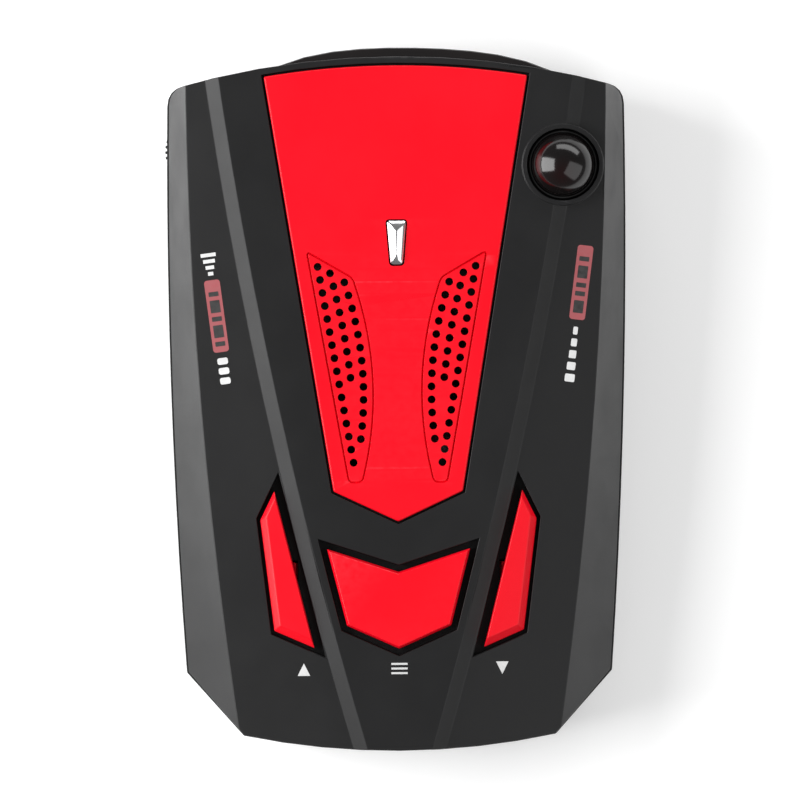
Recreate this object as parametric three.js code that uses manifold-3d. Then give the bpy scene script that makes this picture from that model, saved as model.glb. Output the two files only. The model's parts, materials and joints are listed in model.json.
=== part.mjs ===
// Dashboard radar detector: a wedge-shaped two-part plastic case with a red perforated speaker panel,
// three red keys, a glossy all-round laser dome, a smoked front window, a smoked rear display window,
// a volume thumbwheel and a power socket, over a circuit board with horn antenna and speaker.
//
// Millimetres. +Z is up, +Y points to the windscreen (front) and +X to the right as the driver sees it.
// The origin is on the surface the detector stands on, under the middle of its outline.
import * as THREE from "three";
import { mergeVertices } from "three/addons/utils/BufferGeometryUtils.js";
import Module from "manifold-3d";

const wasm = await Module();
wasm.setup();

// ---------------------------------------------------------------- driving dimensions

const LENGTH = 107; // rear face to the crown of the front window
const WIDTH = 70; // across the lower cover at its widest
const HALF_LENGTH = LENGTH / 2;
const HALF_WIDTH = WIDTH / 2;

// Plan outline
const SIDE_FRONT_TAPER = 0.3; // each side, at the front end
const SIDE_REAR_TAPER = 3.5; // each side, at the rear end
const SIDE_BOW = 1.4;
const FRONT_ARC_RADIUS = 125;
const FRONT_CORNER_RADIUS = 2.6;
const REAR_ARC_RADIUS = 116;
const REAR_CORNER_INSET = 11.2; // from the side of the box to where the rear face starts
const REAR_CORNER_LENGTH = 12.2; // along Y, from the rear end to the end of the corner cut

// Heights
const FOOT_PROUD = 1; // feet below the lower cover
const PARTING_Z = 10; // joint between the two covers
const PLATEAU_REAR_Z = 24.3; // raised middle of the upper cover
const PLATEAU_FRONT_Z = 27.6;
const PLATEAU_BOW = 0.8;
const RIDGE_STEP = 1.3; // middle above the shoulders
const RIDGE_RUN = 2; // width of the sloping strip between them
const SHOULDER_SLOPE = 0.1;

// Upper cover shape, measured from the side of the box
const FACET_FRONT_INSET = 3.1; // top edge of the side facet
const FACET_REAR_INSET = 11.1;
const FACET_BOW = 2;
const FACET_FOOT_OUTSET = 0.4; // leaves an upright rim above the joint
const RIDGE_FRONT_INSET = 6.5;
const RIDGE_REAR_X = 5.8;
const RIDGE_BOW = 2.1;

// Walls and joints
const WALL = 2;
const COVER_REVEAL = 0.35; // lower cover stands this far outside the upper one
const COVER_GAP = 0.3; // between the covers at the joint
const LIP_HEIGHT = 1;
const LIP_WALL = 0.9;
const LIP_CLEARANCE = 0.3;
const LOWER_DRAFT = 2.2; // lower cover narrows this much on its way down
const LOWER_CHAMFER = 1.4;
const FIT_GAP = 0.3; // between parts that are glued or clipped together

// Speaker panel
const PANEL_DEPTH = 1.5;
const PANEL_FLOOR = 1.5; // cover left under the panel
const PANEL_PROUD = 0.15;
const PANEL_GAP = 0.35;
const PANEL_FRONT_MARGIN = 1.35;
const PANEL_FRONT_LAND = 7; // panel edge to ridge crest, at the front
const PANEL_REAR_LAND = 5;
const PANEL_TIP_LENGTH = 4.75;
const PANEL_TO_MENU = 6.2; // land between the panel tip and the menu key well
const TOP_WALL = PANEL_DEPTH + PANEL_FLOOR; // under the top of the panel

// Speaker grille, measured along Y from the corner where the panel tip starts
const GRILLE_LENGTH = 35;
const GRILLE_TIP_RISE = 1.6; // grille's rear end in front of the panel's tip corners
const GRILLE_FRONT_MARGIN = 2.4; // grille to the side of the panel
const GRILLE_REAR_MARGIN = 2.93;
const GRILLE_FRONT_WIDTH = 6.2;
const GRILLE_MIDDLE_WIDTH = 6.8; // by which the inner edge bows out, beyond the rear width
const GRILLE_REAR_WIDTH = 2;
const GRILLE_SLANT = 4; // inner front corner behind the outer one
const GRILLE_LEDGE = 0.3; // grille edge to the sound opening in the cover
const HOLE_RADIUS = 0.6;
const HOLE_PITCH = 1.98; // along Y
const OUTER_HOLE_MARGIN = 1.25; // hole centre to grille edge
const INNER_HOLE_MARGIN = 1.45;
const FIRST_HOLE_INSET = 2.3; // first outer hole behind the grille's front corner
const OUTER_HOLES = 16;
const MIDDLE_HOLES = 9;
const INNER_HOLES = 13;

// Chrome stud on the panel
const STUD_LENGTH = 6.6;
const STUD_FRONT_WIDTH = 2.9;
const STUD_REAR_WIDTH = 1.8;
const STUD_HEIGHT = 0.9;
const STUD_AHEAD_OF_GRILLE = 4.6; // front of the stud in front of the grilles

// Keys
const MENU_KEY_GAP = 1; // cap to well wall
const SIDE_KEY_GAPS = [1.3, 0.65, 0.55, 0.65]; // inner, rear, outer and front edges
const KEY_LAND = 0.3; // side key well to the foot of the ridge
const KEY_PROUD = 0.7;
const KEY_TRAVEL = 0.5;
const KEY_UNDER_CLEARANCE = 0.3;
const KEY_WELL_DEPTH = 3.4;
const KEY_WELL_WALL = 1.2;
const KEY_BEVEL_DROP = 0.85;
const SIDE_KEY_TIP = 42.6; // distances from the rear end along Y
const SIDE_KEY_OUTER_FRONT = 35.7;
const SIDE_KEY_OUTER_REAR = 18.1;
const SIDE_KEY_END = 14.5;
const SIDE_KEY_FRONT_WIDTH = 5;
const SIDE_KEY_REAR_WIDTH = 7.3;
const MENU_KEY_FRONT = 32.5;
const MENU_KEY_NOTCH = 28.5;
const MENU_KEY_SIDE_END = 18.6;
const MENU_KEY_END = 14.7;
const MENU_KEY_LAND = 1.2; // menu key well to the ridge crest
const STEM_LENGTH_X = 4;
const STEM_WIDTH_Y = 2.4;
const STEM_CLEARANCE = 0.25;
const HOOK_REACH = 0.6;
const HOOK_HEIGHT = 0.8;

// Laser dome
const DOME_RADIUS = 4.45;
const DOME_BASE_RADIUS = 5.15;
const DOME_WALL = 1;
const DOME_LEDGE = 1.2;
const DOME_LEDGE_REACH = 1.1;
const DOME_INSET_X = 9.7; // centre from the side of the box
const DOME_INSET_Y = 18; // centre from the front end
const DOME_BOSS_WALL = 0.75;
const DOME_BOSS_PROUD = 0.3;
const DOME_BOSS_DEPTH = 4.9;

// Windows
const FRONT_WINDOW_PROUD = 1.1;
const FRONT_WINDOW_LEFT_MARGIN = 17; // window's ends to the sides of the box
const FRONT_WINDOW_RIGHT_MARGIN = 11;
const FRONT_WINDOW_Z = 12.8;
const FRONT_WINDOW_HEIGHT = 9.2;
const DISPLAY_MARGIN = 2.6; // rear window to the corner of the rear face
const DISPLAY_CLEARANCE = 0.5; // flange to the lip below it and the ceiling above it
const WINDOW_FLANGE = 1;
const WINDOW_FLANGE_REACH = 1.1;

// Circuit board and what stands on it
const BOARD_THICKNESS = 1.6;
const BOARD_STANDOFF = 5; // underside of the board above the floor
const BOARD_CLEARANCE = 0.5; // to the lip
const SWITCH_SIZE = 6;
const SWITCH_HEIGHT = 3.5;
const PLUNGER_RADIUS = 1.7;
const PLUNGER_HEIGHT = 1.3;
const PLUNGER_CLEARANCE = 0.15;
const CONTACT_GAP = 0.05;

// Fasteners and feet
const CASE_SCREW_RADIUS = 1.1;
const CASE_SCREW_HEAD_RADIUS = 2;
const CASE_SCREW_LENGTH = 12;
const SCREW_HEAD_HEIGHT = 1.4;
const CASE_BOSS_RADIUS = 3.4;
const CASE_BOSS_INSET_X = 6.8; // front bosses, from the side of the box
const CASE_BOSS_REAR_INSET_X = 9.6;
const CASE_BOSS_FRONT_Y = 38; // from the front end
const CASE_BOSS_REAR_Y = 15.5; // from the rear end
const BOARD_SCREW_RADIUS = 0.95;
const BOARD_SCREW_HEAD_RADIUS = 1.9;
const BOARD_SCREW_LENGTH = 4.4;
const BOARD_POST_RADIUS = 2.4;
const BOARD_POST_INSET_X = 9.5; // side posts, from the side of the box
const BOARD_POST_LEFT_Y = 47; // distances from the rear end
const BOARD_POST_RIGHT_Y = 36;
const BOARD_POST_REAR_Y = 15;
const FOOT_RADIUS = 4;
const FOOT_SEAT = 0.4; // foot let into the lower cover
const FOOT_FRONT_INSET_X = 12; // from the side of the box
const FOOT_REAR_INSET_X = 15;
const FOOT_FRONT_Y = 15.5; // from the front end
const FOOT_REAR_Y = 23.5; // from the rear end
const LABEL_TO_FOOT = 2;
const LABEL_LENGTH = 18;
const LABEL_THICKNESS = 0.2;
const LABEL_Y = 33; // centre from the rear end

// Volume wheel
const WHEEL_RADIUS = 6;
const WHEEL_THICKNESS = 2.4;
const WHEEL_PROUD = 0.2; // beyond the widest part of the case
const WHEEL_Y = 15.4; // centre from the front end
const WHEEL_SLOT_CLEARANCE = 0.5;
const POT_HEIGHT = 1.9;
const POT_SIZE = 8;
const SPINDLE_RADIUS = 1.2;

// Power socket
const JACK_BARREL_RADIUS = 2.4;
const JACK_BORE_RADIUS = 1.8;
const JACK_PIN_RADIUS = 0.65;
const JACK_LENGTH = 10;
const JACK_WIDTH = 6.4;
const JACK_SUNK = 0.2; // behind the face of the cover
const JACK_Y = 49.5; // centre from the front end

// Horn antenna
const HORN_WIDTH = 25;
const HORN_LENGTH = 26;
const HORN_HEIGHT = 11;
const HORN_WALL = 1.6;
const MIXER_THICKNESS = 1;
const SHIELD_HEIGHT = 2.4;

// Speaker
const SPEAKER_RADIUS = 13.5;
const SPEAKER_DEPTH = 3.4;
const MAGNET_RADIUS = 7;
const MAGNET_HEIGHT = 2;
const CONE_STROKE = 0.3;

// ---------------------------------------------------------------- colours

const plastic = (color, roughness, metalness = 0) =>
  new THREE.MeshStandardMaterial({ color, roughness, metalness });
const BLACK_SHELL = plastic(0x2c2d2e, 0.55);
const RED_SATIN = plastic(0xf01226, 0.38, 0.25);
const CHROME = plastic(0xf2f2f2, 0.06, 1);
const SMOKED = plastic(0x0b0606, 0.06);
const DARK_RUBBER = plastic(0x161616, 0.85);
const BOARD_GREEN = plastic(0x0e4a26, 0.5);
const METAL = plastic(0xb9bcc0, 0.32, 1);
const CAST_METAL = plastic(0x9a9da1, 0.55, 1);
const BLACK_PART = plastic(0x151515, 0.45);
const PAPER_CONE = plastic(0x1d1c1b, 0.9);
const CLEAR = plastic(0xdfe6ea, 0.05);
const LABEL = plastic(0xc9cbcd, 0.5);
const LED_FACE = plastic(0x2a0608, 0.4);
const FERRITE = plastic(0x3a3a3c, 0.6, 0.2);
const WIRE_RED = plastic(0xa81818, 0.5);

// ---------------------------------------------------------------- solids

/** A three.js geometry as a manifold solid. */
function solid(geometry) {
  const bare = geometry.clone();
  bare.deleteAttribute("normal");
  bare.deleteAttribute("uv");
  const merged = mergeVertices(bare, 1e-4);
  return new wasm.Manifold(
    new wasm.Mesh({
      numProp: 3,
      vertProperties: merged.attributes.position.array,
      triVerts: new Uint32Array(merged.index.array),
    }),
  );
}

/** A manifold solid as a three.js geometry. */
function geometryOf(shape) {
  const { numProp, numVert, vertProperties, triVerts } = shape.getMesh();
  const positions = new Float32Array(numVert * 3);
  for (let i = 0; i < numVert; i++)
    positions.set(vertProperties.subarray(i * numProp, i * numProp + 3), i * 3);
  const geometry = new THREE.BufferGeometry();
  geometry.setAttribute("position", new THREE.BufferAttribute(positions, 3));
  geometry.setIndex(new THREE.BufferAttribute(triVerts, 1));
  geometry.computeVertexNormals();
  return geometry;
}

/** An upright prism of a plan outline between two heights. */
function prism(outline, low, high) {
  const settings = { depth: high - low, bevelEnabled: false };
  const geometry = new THREE.ExtrudeGeometry(new THREE.Shape(outline), settings);
  return solid(geometry.translate(0, 0, low));
}

/** A closed skin through rings of points, one after another, with a flat cap on each end. */
function loft(rings, flatten) {
  const count = rings[0].length;
  const positions = rings.flat().flatMap((p) => [p.x, p.y, p.z]);
  const faces = [];
  for (let r = 0; r + 1 < rings.length; r++) {
    for (let i = 0; i < count; i++) {
      const a = r * count + i;
      const b = r * count + ((i + 1) % count);
      faces.push([a, b, b + count], [a, b + count, a + count]);
    }
  }
  const contour = rings[0].map(flatten);
  const last = (rings.length - 1) * count;
  for (const face of THREE.ShapeUtils.triangulateShape(contour, [])) {
    const sameWay =
      THREE.ShapeUtils.area(face.map((i) => contour[i])) * THREE.ShapeUtils.area(contour) > 0;
    const [a, b, c] = sameWay ? face : [...face].reverse();
    faces.push([c, b, a], [a + last, b + last, c + last]);
  }
  const volume = faces.reduce((sum, face) => {
    const [p, q, s] = face.map((i) => new THREE.Vector3().fromArray(positions, i * 3));
    return sum + p.dot(q.cross(s)) / 6;
  }, 0);
  const index = volume < 0 ? faces.map(([a, b, c]) => [c, b, a]) : faces;
  const geometry = new THREE.BufferGeometry();
  geometry.setAttribute("position", new THREE.Float32BufferAttribute(positions, 3));
  geometry.setIndex(index.flat());
  return solid(geometry);
}

/** A skin through plan outlines stacked at given heights. A height is a number or a function of x, y. */
function stack(levels) {
  const rings = levels.map(([outline, height]) =>
    outline.map((p) => {
      const z = typeof height === "number" ? height : height(p.x, p.y);
      return new THREE.Vector3(p.x, p.y, z);
    }),
  );
  return loft(rings, (p) => new THREE.Vector2(p.x, p.y));
}

const box = (x0, x1, y0, y1, z0, z1) =>
  solid(
    new THREE.BoxGeometry(x1 - x0, y1 - y0, z1 - z0).translate(
      (x0 + x1) / 2,
      (y0 + y1) / 2,
      (z0 + z1) / 2,
    ),
  );

/** An upright cylinder, standing at x, y. */
const rod = (radius, low, high, x = 0, y = 0, segments = 20) =>
  solid(
    new THREE.CylinderGeometry(radius, radius, high - low, segments)
      .rotateX(Math.PI / 2)
      .translate(x, y, (low + high) / 2),
  );

/** A turned solid round an upright axis, from [radius, height] points that start and end on the axis. */
const turned = (profile, segments = 20) =>
  solid(
    new THREE.LatheGeometry(
      profile.map(([r, z]) => new THREE.Vector2(r, z)),
      segments,
    ).rotateX(Math.PI / 2),
  );

// ---------------------------------------------------------------- outlines

/** Moves each edge of an anticlockwise outline inwards: by one distance, or by one for each edge. */
function inset(outline, distance) {
  const count = outline.length;
  const lines = outline.map((p, i) => {
    const along = outline[(i + 1) % count].clone().sub(p).normalize();
    const by = typeof distance === "number" ? distance : distance[i];
    const inward = new THREE.Vector2(-along.y, along.x);
    return { from: p.clone().addScaledVector(inward, by), along };
  });
  return lines.map((line, i) => {
    const before = lines[(i + count - 1) % count];
    const turn = before.along.cross(line.along);
    if (Math.abs(turn) < 1e-6) return line.from;
    const step = line.from.clone().sub(before.from).cross(line.along) / turn;
    return before.from.clone().addScaledVector(before.along, step);
  });
}

const point = (x, y) => new THREE.Vector2(x, y);
const mirrored = (outline) => outline.map((p) => point(-p.x, p.y)).reverse();

/** A value that runs from the rear end to the front end in a line, bowed by a parabola. */
const bowed = (rear, front, bow) => (y) => {
  const u = y / HALF_LENGTH;
  return rear + ((front - rear) * (1 + u)) / 2 + bow * (1 - u * u);
};

const REAR_Y = -HALF_LENGTH;
const COVER_FRONT_Y = HALF_LENGTH - FRONT_WINDOW_PROUD;
const sideX = bowed(HALF_WIDTH - SIDE_REAR_TAPER, HALF_WIDTH - SIDE_FRONT_TAPER, SIDE_BOW);
const facetX = bowed(HALF_WIDTH - FACET_REAR_INSET, HALF_WIDTH - FACET_FRONT_INSET, FACET_BOW);
const ridgeX = bowed(RIDGE_REAR_X, HALF_WIDTH - RIDGE_FRONT_INSET, RIDGE_BOW);
const crestX = (y) => ridgeX(y) - RIDGE_RUN / 2;
const footX = (y) => ridgeX(y) + RIDGE_RUN / 2;
const plateauZ = bowed(PLATEAU_REAR_Z, PLATEAU_FRONT_Z, PLATEAU_BOW);
const shoulderZ = (x, y) => plateauZ(y) - RIDGE_STEP - SHOULDER_SLOPE * (x - footX(y));
const frontArcY = (x) =>
  COVER_FRONT_Y - FRONT_ARC_RADIUS + Math.sqrt(FRONT_ARC_RADIUS ** 2 - x * x);
const rearArcY = (x) =>
  REAR_Y + REAR_ARC_RADIUS - Math.sqrt(REAR_ARC_RADIUS ** 2 - x * x);

/** Even steps from a to b, both included. */
const steps = (a, b, count) =>
  Array.from({ length: count + 1 }, (_, i) => a + ((b - a) * i) / count);

/** Replaces some corners of an outline by curves that start a distance before and after them. */
function rounded(outline, corners, reach) {
  return outline.flatMap((p, i) => {
    if (!corners.includes(i)) return [p];
    const leg = (q) => p.clone().add(q.clone().sub(p).setLength(reach));
    const [before, after] = [leg(outline[i - 1]), leg(outline[i + 1])];
    return new THREE.QuadraticBezierCurve(before, p, after).getPoints(4);
  });
}

/** The case from above, moved inwards by a margin, anticlockwise from the left of the rear face. */
function planOutline(margin = 0) {
  const rearX = HALF_WIDTH - REAR_CORNER_INSET;
  const cornerX = sideX(COVER_FRONT_Y);
  const rear = steps(-rearX, rearX, 8).map((x) => point(x, rearArcY(x)));
  const side = steps(REAR_Y + REAR_CORNER_LENGTH, frontArcY(cornerX), 10).map((y) =>
    point(sideX(y), y),
  );
  const front = steps(sideX(frontArcY(cornerX)), -cornerX, 10)
    .slice(1, -1)
    .map((x) => point(x, frontArcY(x)));
  const sharp = inset([...rear, ...side, ...front, ...mirrored(side)], margin);
  const corner = rear.length + side.length - 1;
  const corners = [corner, corner + front.length + 1];
  return rounded(sharp, corners, Math.max(FRONT_CORNER_RADIUS - margin, 0.8));
}

/** Where the wells of the side keys lie: the right-hand one, anticlockwise from its tip. */
function sideKeyWell() {
  const innerX = (y) => footX(y) + KEY_LAND;
  const [tip, front, rear, end] = [
    SIDE_KEY_TIP,
    SIDE_KEY_OUTER_FRONT,
    SIDE_KEY_OUTER_REAR,
    SIDE_KEY_END,
  ].map((y) => REAR_Y + y);
  return [
    point(innerX(tip), tip),
    point(innerX(end), end),
    point(innerX(rear) + SIDE_KEY_REAR_WIDTH, rear),
    point(innerX(front) + SIDE_KEY_FRONT_WIDTH, front),
  ];
}

/** The well of the menu key, anticlockwise from its left front corner. */
function menuKeyWell() {
  const edgeX = (y) => crestX(y) - MENU_KEY_LAND;
  const [front, notch, sideEnd, end] = [
    MENU_KEY_FRONT,
    MENU_KEY_NOTCH,
    MENU_KEY_SIDE_END,
    MENU_KEY_END,
  ].map((y) => REAR_Y + y);
  return [
    point(-edgeX(front), front),
    point(-edgeX(sideEnd), sideEnd),
    point(0, end),
    point(edgeX(sideEnd), sideEnd),
    point(edgeX(front), front),
    point(0, notch),
  ];
}

const RIGHT_KEY_WELL = sideKeyWell();
const LEFT_KEY_WELL = mirrored(RIGHT_KEY_WELL);
const MENU_WELL = menuKeyWell();

/** The recess of the speaker panel, anticlockwise from its tip. */
const PANEL_TIP_Y = REAR_Y + MENU_KEY_NOTCH + PANEL_TO_MENU;
const PANEL_CORNER_Y = PANEL_TIP_Y + PANEL_TIP_LENGTH;
const PANEL_REAR_X = crestX(PANEL_CORNER_Y) - PANEL_REAR_LAND;
const PANEL_FRONT_X = crestX(COVER_FRONT_Y) - PANEL_FRONT_LAND;
const panelFrontY = (x) => frontArcY(x) - PANEL_FRONT_MARGIN;
const PANEL_RECESS = [
  point(0, PANEL_TIP_Y),
  point(PANEL_REAR_X, PANEL_CORNER_Y),
  ...steps(PANEL_FRONT_X, -PANEL_FRONT_X, 8).map((x) => point(x, panelFrontY(x))),
  point(-PANEL_REAR_X, PANEL_CORNER_Y),
];

/** X of the panel's right side at a given y. */
function panelSideX(y) {
  const frontY = panelFrontY(PANEL_FRONT_X);
  const share = (y - PANEL_CORNER_Y) / (frontY - PANEL_CORNER_Y);
  return PANEL_REAR_X + (PANEL_FRONT_X - PANEL_REAR_X) * share;
}

const GRILLE_REAR_Y = PANEL_CORNER_Y + GRILLE_TIP_RISE;
const GRILLE_FRONT_Y = GRILLE_REAR_Y + GRILLE_LENGTH;

/** X of the right-hand grille's outer edge at a given y. */
function grilleOuterX(y) {
  const share = (y - GRILLE_REAR_Y) / GRILLE_LENGTH;
  const margin = GRILLE_REAR_MARGIN + (GRILLE_FRONT_MARGIN - GRILLE_REAR_MARGIN) * share;
  return panelSideX(y) - margin;
}

const GRILLE_INNER_FRONT_Y = GRILLE_FRONT_Y - GRILLE_SLANT;

/** The inner edge of the right-hand grille, from its front corner to its rear end. */
function grilleInnerEdge() {
  const frontY = GRILLE_INNER_FRONT_Y;
  const middleY = (frontY + GRILLE_REAR_Y) / 2;
  return new THREE.QuadraticBezierCurve(
    point(grilleOuterX(frontY) - GRILLE_FRONT_WIDTH, frontY),
    point(grilleOuterX(middleY) - GRILLE_MIDDLE_WIDTH - GRILLE_REAR_WIDTH, middleY),
    point(grilleOuterX(GRILLE_REAR_Y) - GRILLE_REAR_WIDTH, GRILLE_REAR_Y),
  );
}

/** The right-hand grille's outline, anticlockwise from its outer rear end. */
const RIGHT_GRILLE = [
  point(grilleOuterX(GRILLE_REAR_Y), GRILLE_REAR_Y),
  point(grilleOuterX(GRILLE_FRONT_Y), GRILLE_FRONT_Y),
  ...grilleInnerEdge().getPoints(8),
];

/** Centres of the right-hand grille's holes: two columns along its edges and one between them. */
function grilleHoles() {
  const edge = grilleInnerEdge();
  const outerX = (y) => grilleOuterX(y) - OUTER_HOLE_MARGIN;
  const innerX = (y) => {
    const t = (GRILLE_INNER_FRONT_Y - y) / (GRILLE_INNER_FRONT_Y - GRILLE_REAR_Y);
    return edge.getPoint(t).x + INNER_HOLE_MARGIN;
  };
  const column = (count, firstY, x) =>
    Array.from({ length: count }, (_, i) => firstY - i * HOLE_PITCH).map((y) => point(x(y), y));
  const firstY = GRILLE_FRONT_Y - FIRST_HOLE_INSET;
  return [
    ...column(OUTER_HOLES, firstY, outerX),
    ...column(MIDDLE_HOLES, firstY - HOLE_PITCH / 2, (y) => (outerX(y) + innerX(y)) / 2),
    ...column(INNER_HOLES, firstY - HOLE_PITCH * 1.2, innerX),
  ];
}

// ---------------------------------------------------------------- upper cover

const CLEAR_OF_TOP = 40; // above everything
const END_OVERRUN = 1;
const STATIONS = steps(REAR_Y - END_OVERRUN, HALF_LENGTH + END_OVERRUN, 12);

/** A skin along Y through right-hand profile points, mirrored to the left. */
function symmetricLoft(profile) {
  const rings = STATIONS.map((y) => {
    const right = profile(y).map(([x, z]) => new THREE.Vector3(x, y, z));
    const left = right.map((p) => new THREE.Vector3(-p.x, y, p.z)).reverse();
    return [...right, ...left];
  });
  return loft(rings, (p) => new THREE.Vector2(p.x, p.z));
}

/** The space between two heights over the middle of the cover, given as functions of y. */
const slab = (low, high) =>
  symmetricLoft((y) => [
    [HALF_WIDTH, low(y)],
    [HALF_WIDTH, high(y)],
  ]);

const upperOuter = symmetricLoft((y) => {
  const foot = sideX(y) - COVER_REVEAL + FACET_FOOT_OUTSET;
  return [
    [foot, PARTING_Z - 1],
    [foot, PARTING_Z + COVER_GAP],
    [facetX(y), shoulderZ(facetX(y), y)],
    [footX(y), plateauZ(y) - RIDGE_STEP],
    [crestX(y), plateauZ(y)],
  ];
}).intersect(prism(planOutline(COVER_REVEAL), PARTING_Z + COVER_GAP, CLEAR_OF_TOP));

const upperCavity = symmetricLoft((y) => {
  const run = WALL * 1.15; // a wall of this thickness, measured across the sloping facet
  const foot = sideX(y) - COVER_REVEAL + FACET_FOOT_OUTSET - run;
  const top = facetX(y) - run;
  return [
    [foot, PARTING_Z - 1],
    [foot, PARTING_Z + LIP_HEIGHT + LIP_CLEARANCE],
    [top, shoulderZ(facetX(y), y) - WALL],
    [crestX(y) - RIDGE_RUN, plateauZ(y) - WALL],
  ];
}).intersect(prism(planOutline(COVER_REVEAL + WALL), PARTING_Z - 1, CLEAR_OF_TOP));

const centre = (outline) =>
  outline.reduce((sum, p) => sum.add(p), point(0, 0)).divideScalar(outline.length);

/** Height of the upper cover's surface on the plateau or, past the ridge, on a shoulder. */
function surfaceZ(x, y) {
  return Math.abs(x) <= crestX(y) ? plateauZ(y) : shoulderZ(Math.abs(x), y);
}

/** A side key's edge values for the mirrored outline, whose edges run the other way. */
function mirroredEdges([inner, rear, outer, front]) {
  return [outer, rear, inner, front];
}

/** One key's place: its well outline, cap outline, centre, and well floor height. */
function keySeat(well, gaps) {
  const middle = centre(well);
  const floor = surfaceZ(middle.x, middle.y) - KEY_WELL_DEPTH;
  return { well, cap: inset(well, gaps), x: middle.x, y: middle.y, floor };
}

const KEY_SEATS = {
  up: keySeat(LEFT_KEY_WELL, mirroredEdges(SIDE_KEY_GAPS)),
  menu: keySeat(MENU_WELL, MENU_KEY_GAP),
  down: keySeat(RIGHT_KEY_WELL, SIDE_KEY_GAPS),
};

const DOME_X = HALF_WIDTH - DOME_INSET_X;
const DOME_Y = HALF_LENGTH - DOME_INSET_Y;
const DOME_SEAT_Z = plateauZ(DOME_Y) + DOME_BOSS_PROUD;
const DOME_BOSS_LOW_Z = DOME_SEAT_Z - DOME_BOSS_DEPTH;
const DOME_BOSS_RADIUS = DOME_BASE_RADIUS + FIT_GAP + DOME_BOSS_WALL;

const CASE_BOSSES = [
  [-(HALF_WIDTH - CASE_BOSS_INSET_X), HALF_LENGTH - CASE_BOSS_FRONT_Y],
  [HALF_WIDTH - CASE_BOSS_INSET_X, HALF_LENGTH - CASE_BOSS_FRONT_Y],
  [-(HALF_WIDTH - CASE_BOSS_REAR_INSET_X), REAR_Y + CASE_BOSS_REAR_Y],
  [HALF_WIDTH - CASE_BOSS_REAR_INSET_X, REAR_Y + CASE_BOSS_REAR_Y],
];
const CASE_SCREW_SEAT_Z = FOOT_PROUD + WALL + SCREW_HEAD_HEIGHT; // underside of the cover's screw seat
const CASE_SCREW_TIP_Z = CASE_SCREW_SEAT_Z + CASE_SCREW_LENGTH;

/** The bar that fills a window's opening in an end wall, and the flange that holds it from inside. */
function windowShape(x0, x1, z0, z1, outerY, innerY, inwards) {
  const strip = (from, to, near, far) => {
    const xs = steps(from, to, 10);
    const edge = xs.map((x) => point(x, near(x)));
    const back = xs.map((x) => point(x, far(x))).reverse();
    const outline = [...edge, ...back];
    return inwards > 0 ? outline : outline.reverse();
  };
  const flangeNear = (x) => innerY(x) + inwards * FIT_GAP;
  const flangeFar = (x) => flangeNear(x) + inwards * WINDOW_FLANGE;
  const reach = WINDOW_FLANGE_REACH;
  const pane = prism(strip(x0, x1, outerY, flangeFar), z0, z1);
  const flange = strip(x0 - reach, x1 + reach, flangeNear, flangeFar);
  return pane.add(prism(flange, z0 - reach, z1 + reach));
}

const FRONT_WINDOW = {
  x0: -(HALF_WIDTH - FRONT_WINDOW_LEFT_MARGIN),
  x1: HALF_WIDTH - FRONT_WINDOW_RIGHT_MARGIN,
  z0: FRONT_WINDOW_Z,
  z1: FRONT_WINDOW_Z + FRONT_WINDOW_HEIGHT,
};
const DISPLAY_HALF = HALF_WIDTH - REAR_CORNER_INSET - DISPLAY_MARGIN;
const DISPLAY_ROOM = WINDOW_FLANGE_REACH + DISPLAY_CLEARANCE;
const DISPLAY = {
  x0: -DISPLAY_HALF,
  x1: DISPLAY_HALF,
  z0: PARTING_Z + LIP_HEIGHT + DISPLAY_ROOM,
  z1: shoulderZ(DISPLAY_HALF, REAR_Y) - WALL - DISPLAY_ROOM,
};
const openingFor = (w, y0, y1) =>
  box(w.x0 - FIT_GAP, w.x1 + FIT_GAP, y0, y1, w.z0 - FIT_GAP, w.z1 + FIT_GAP);

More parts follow.
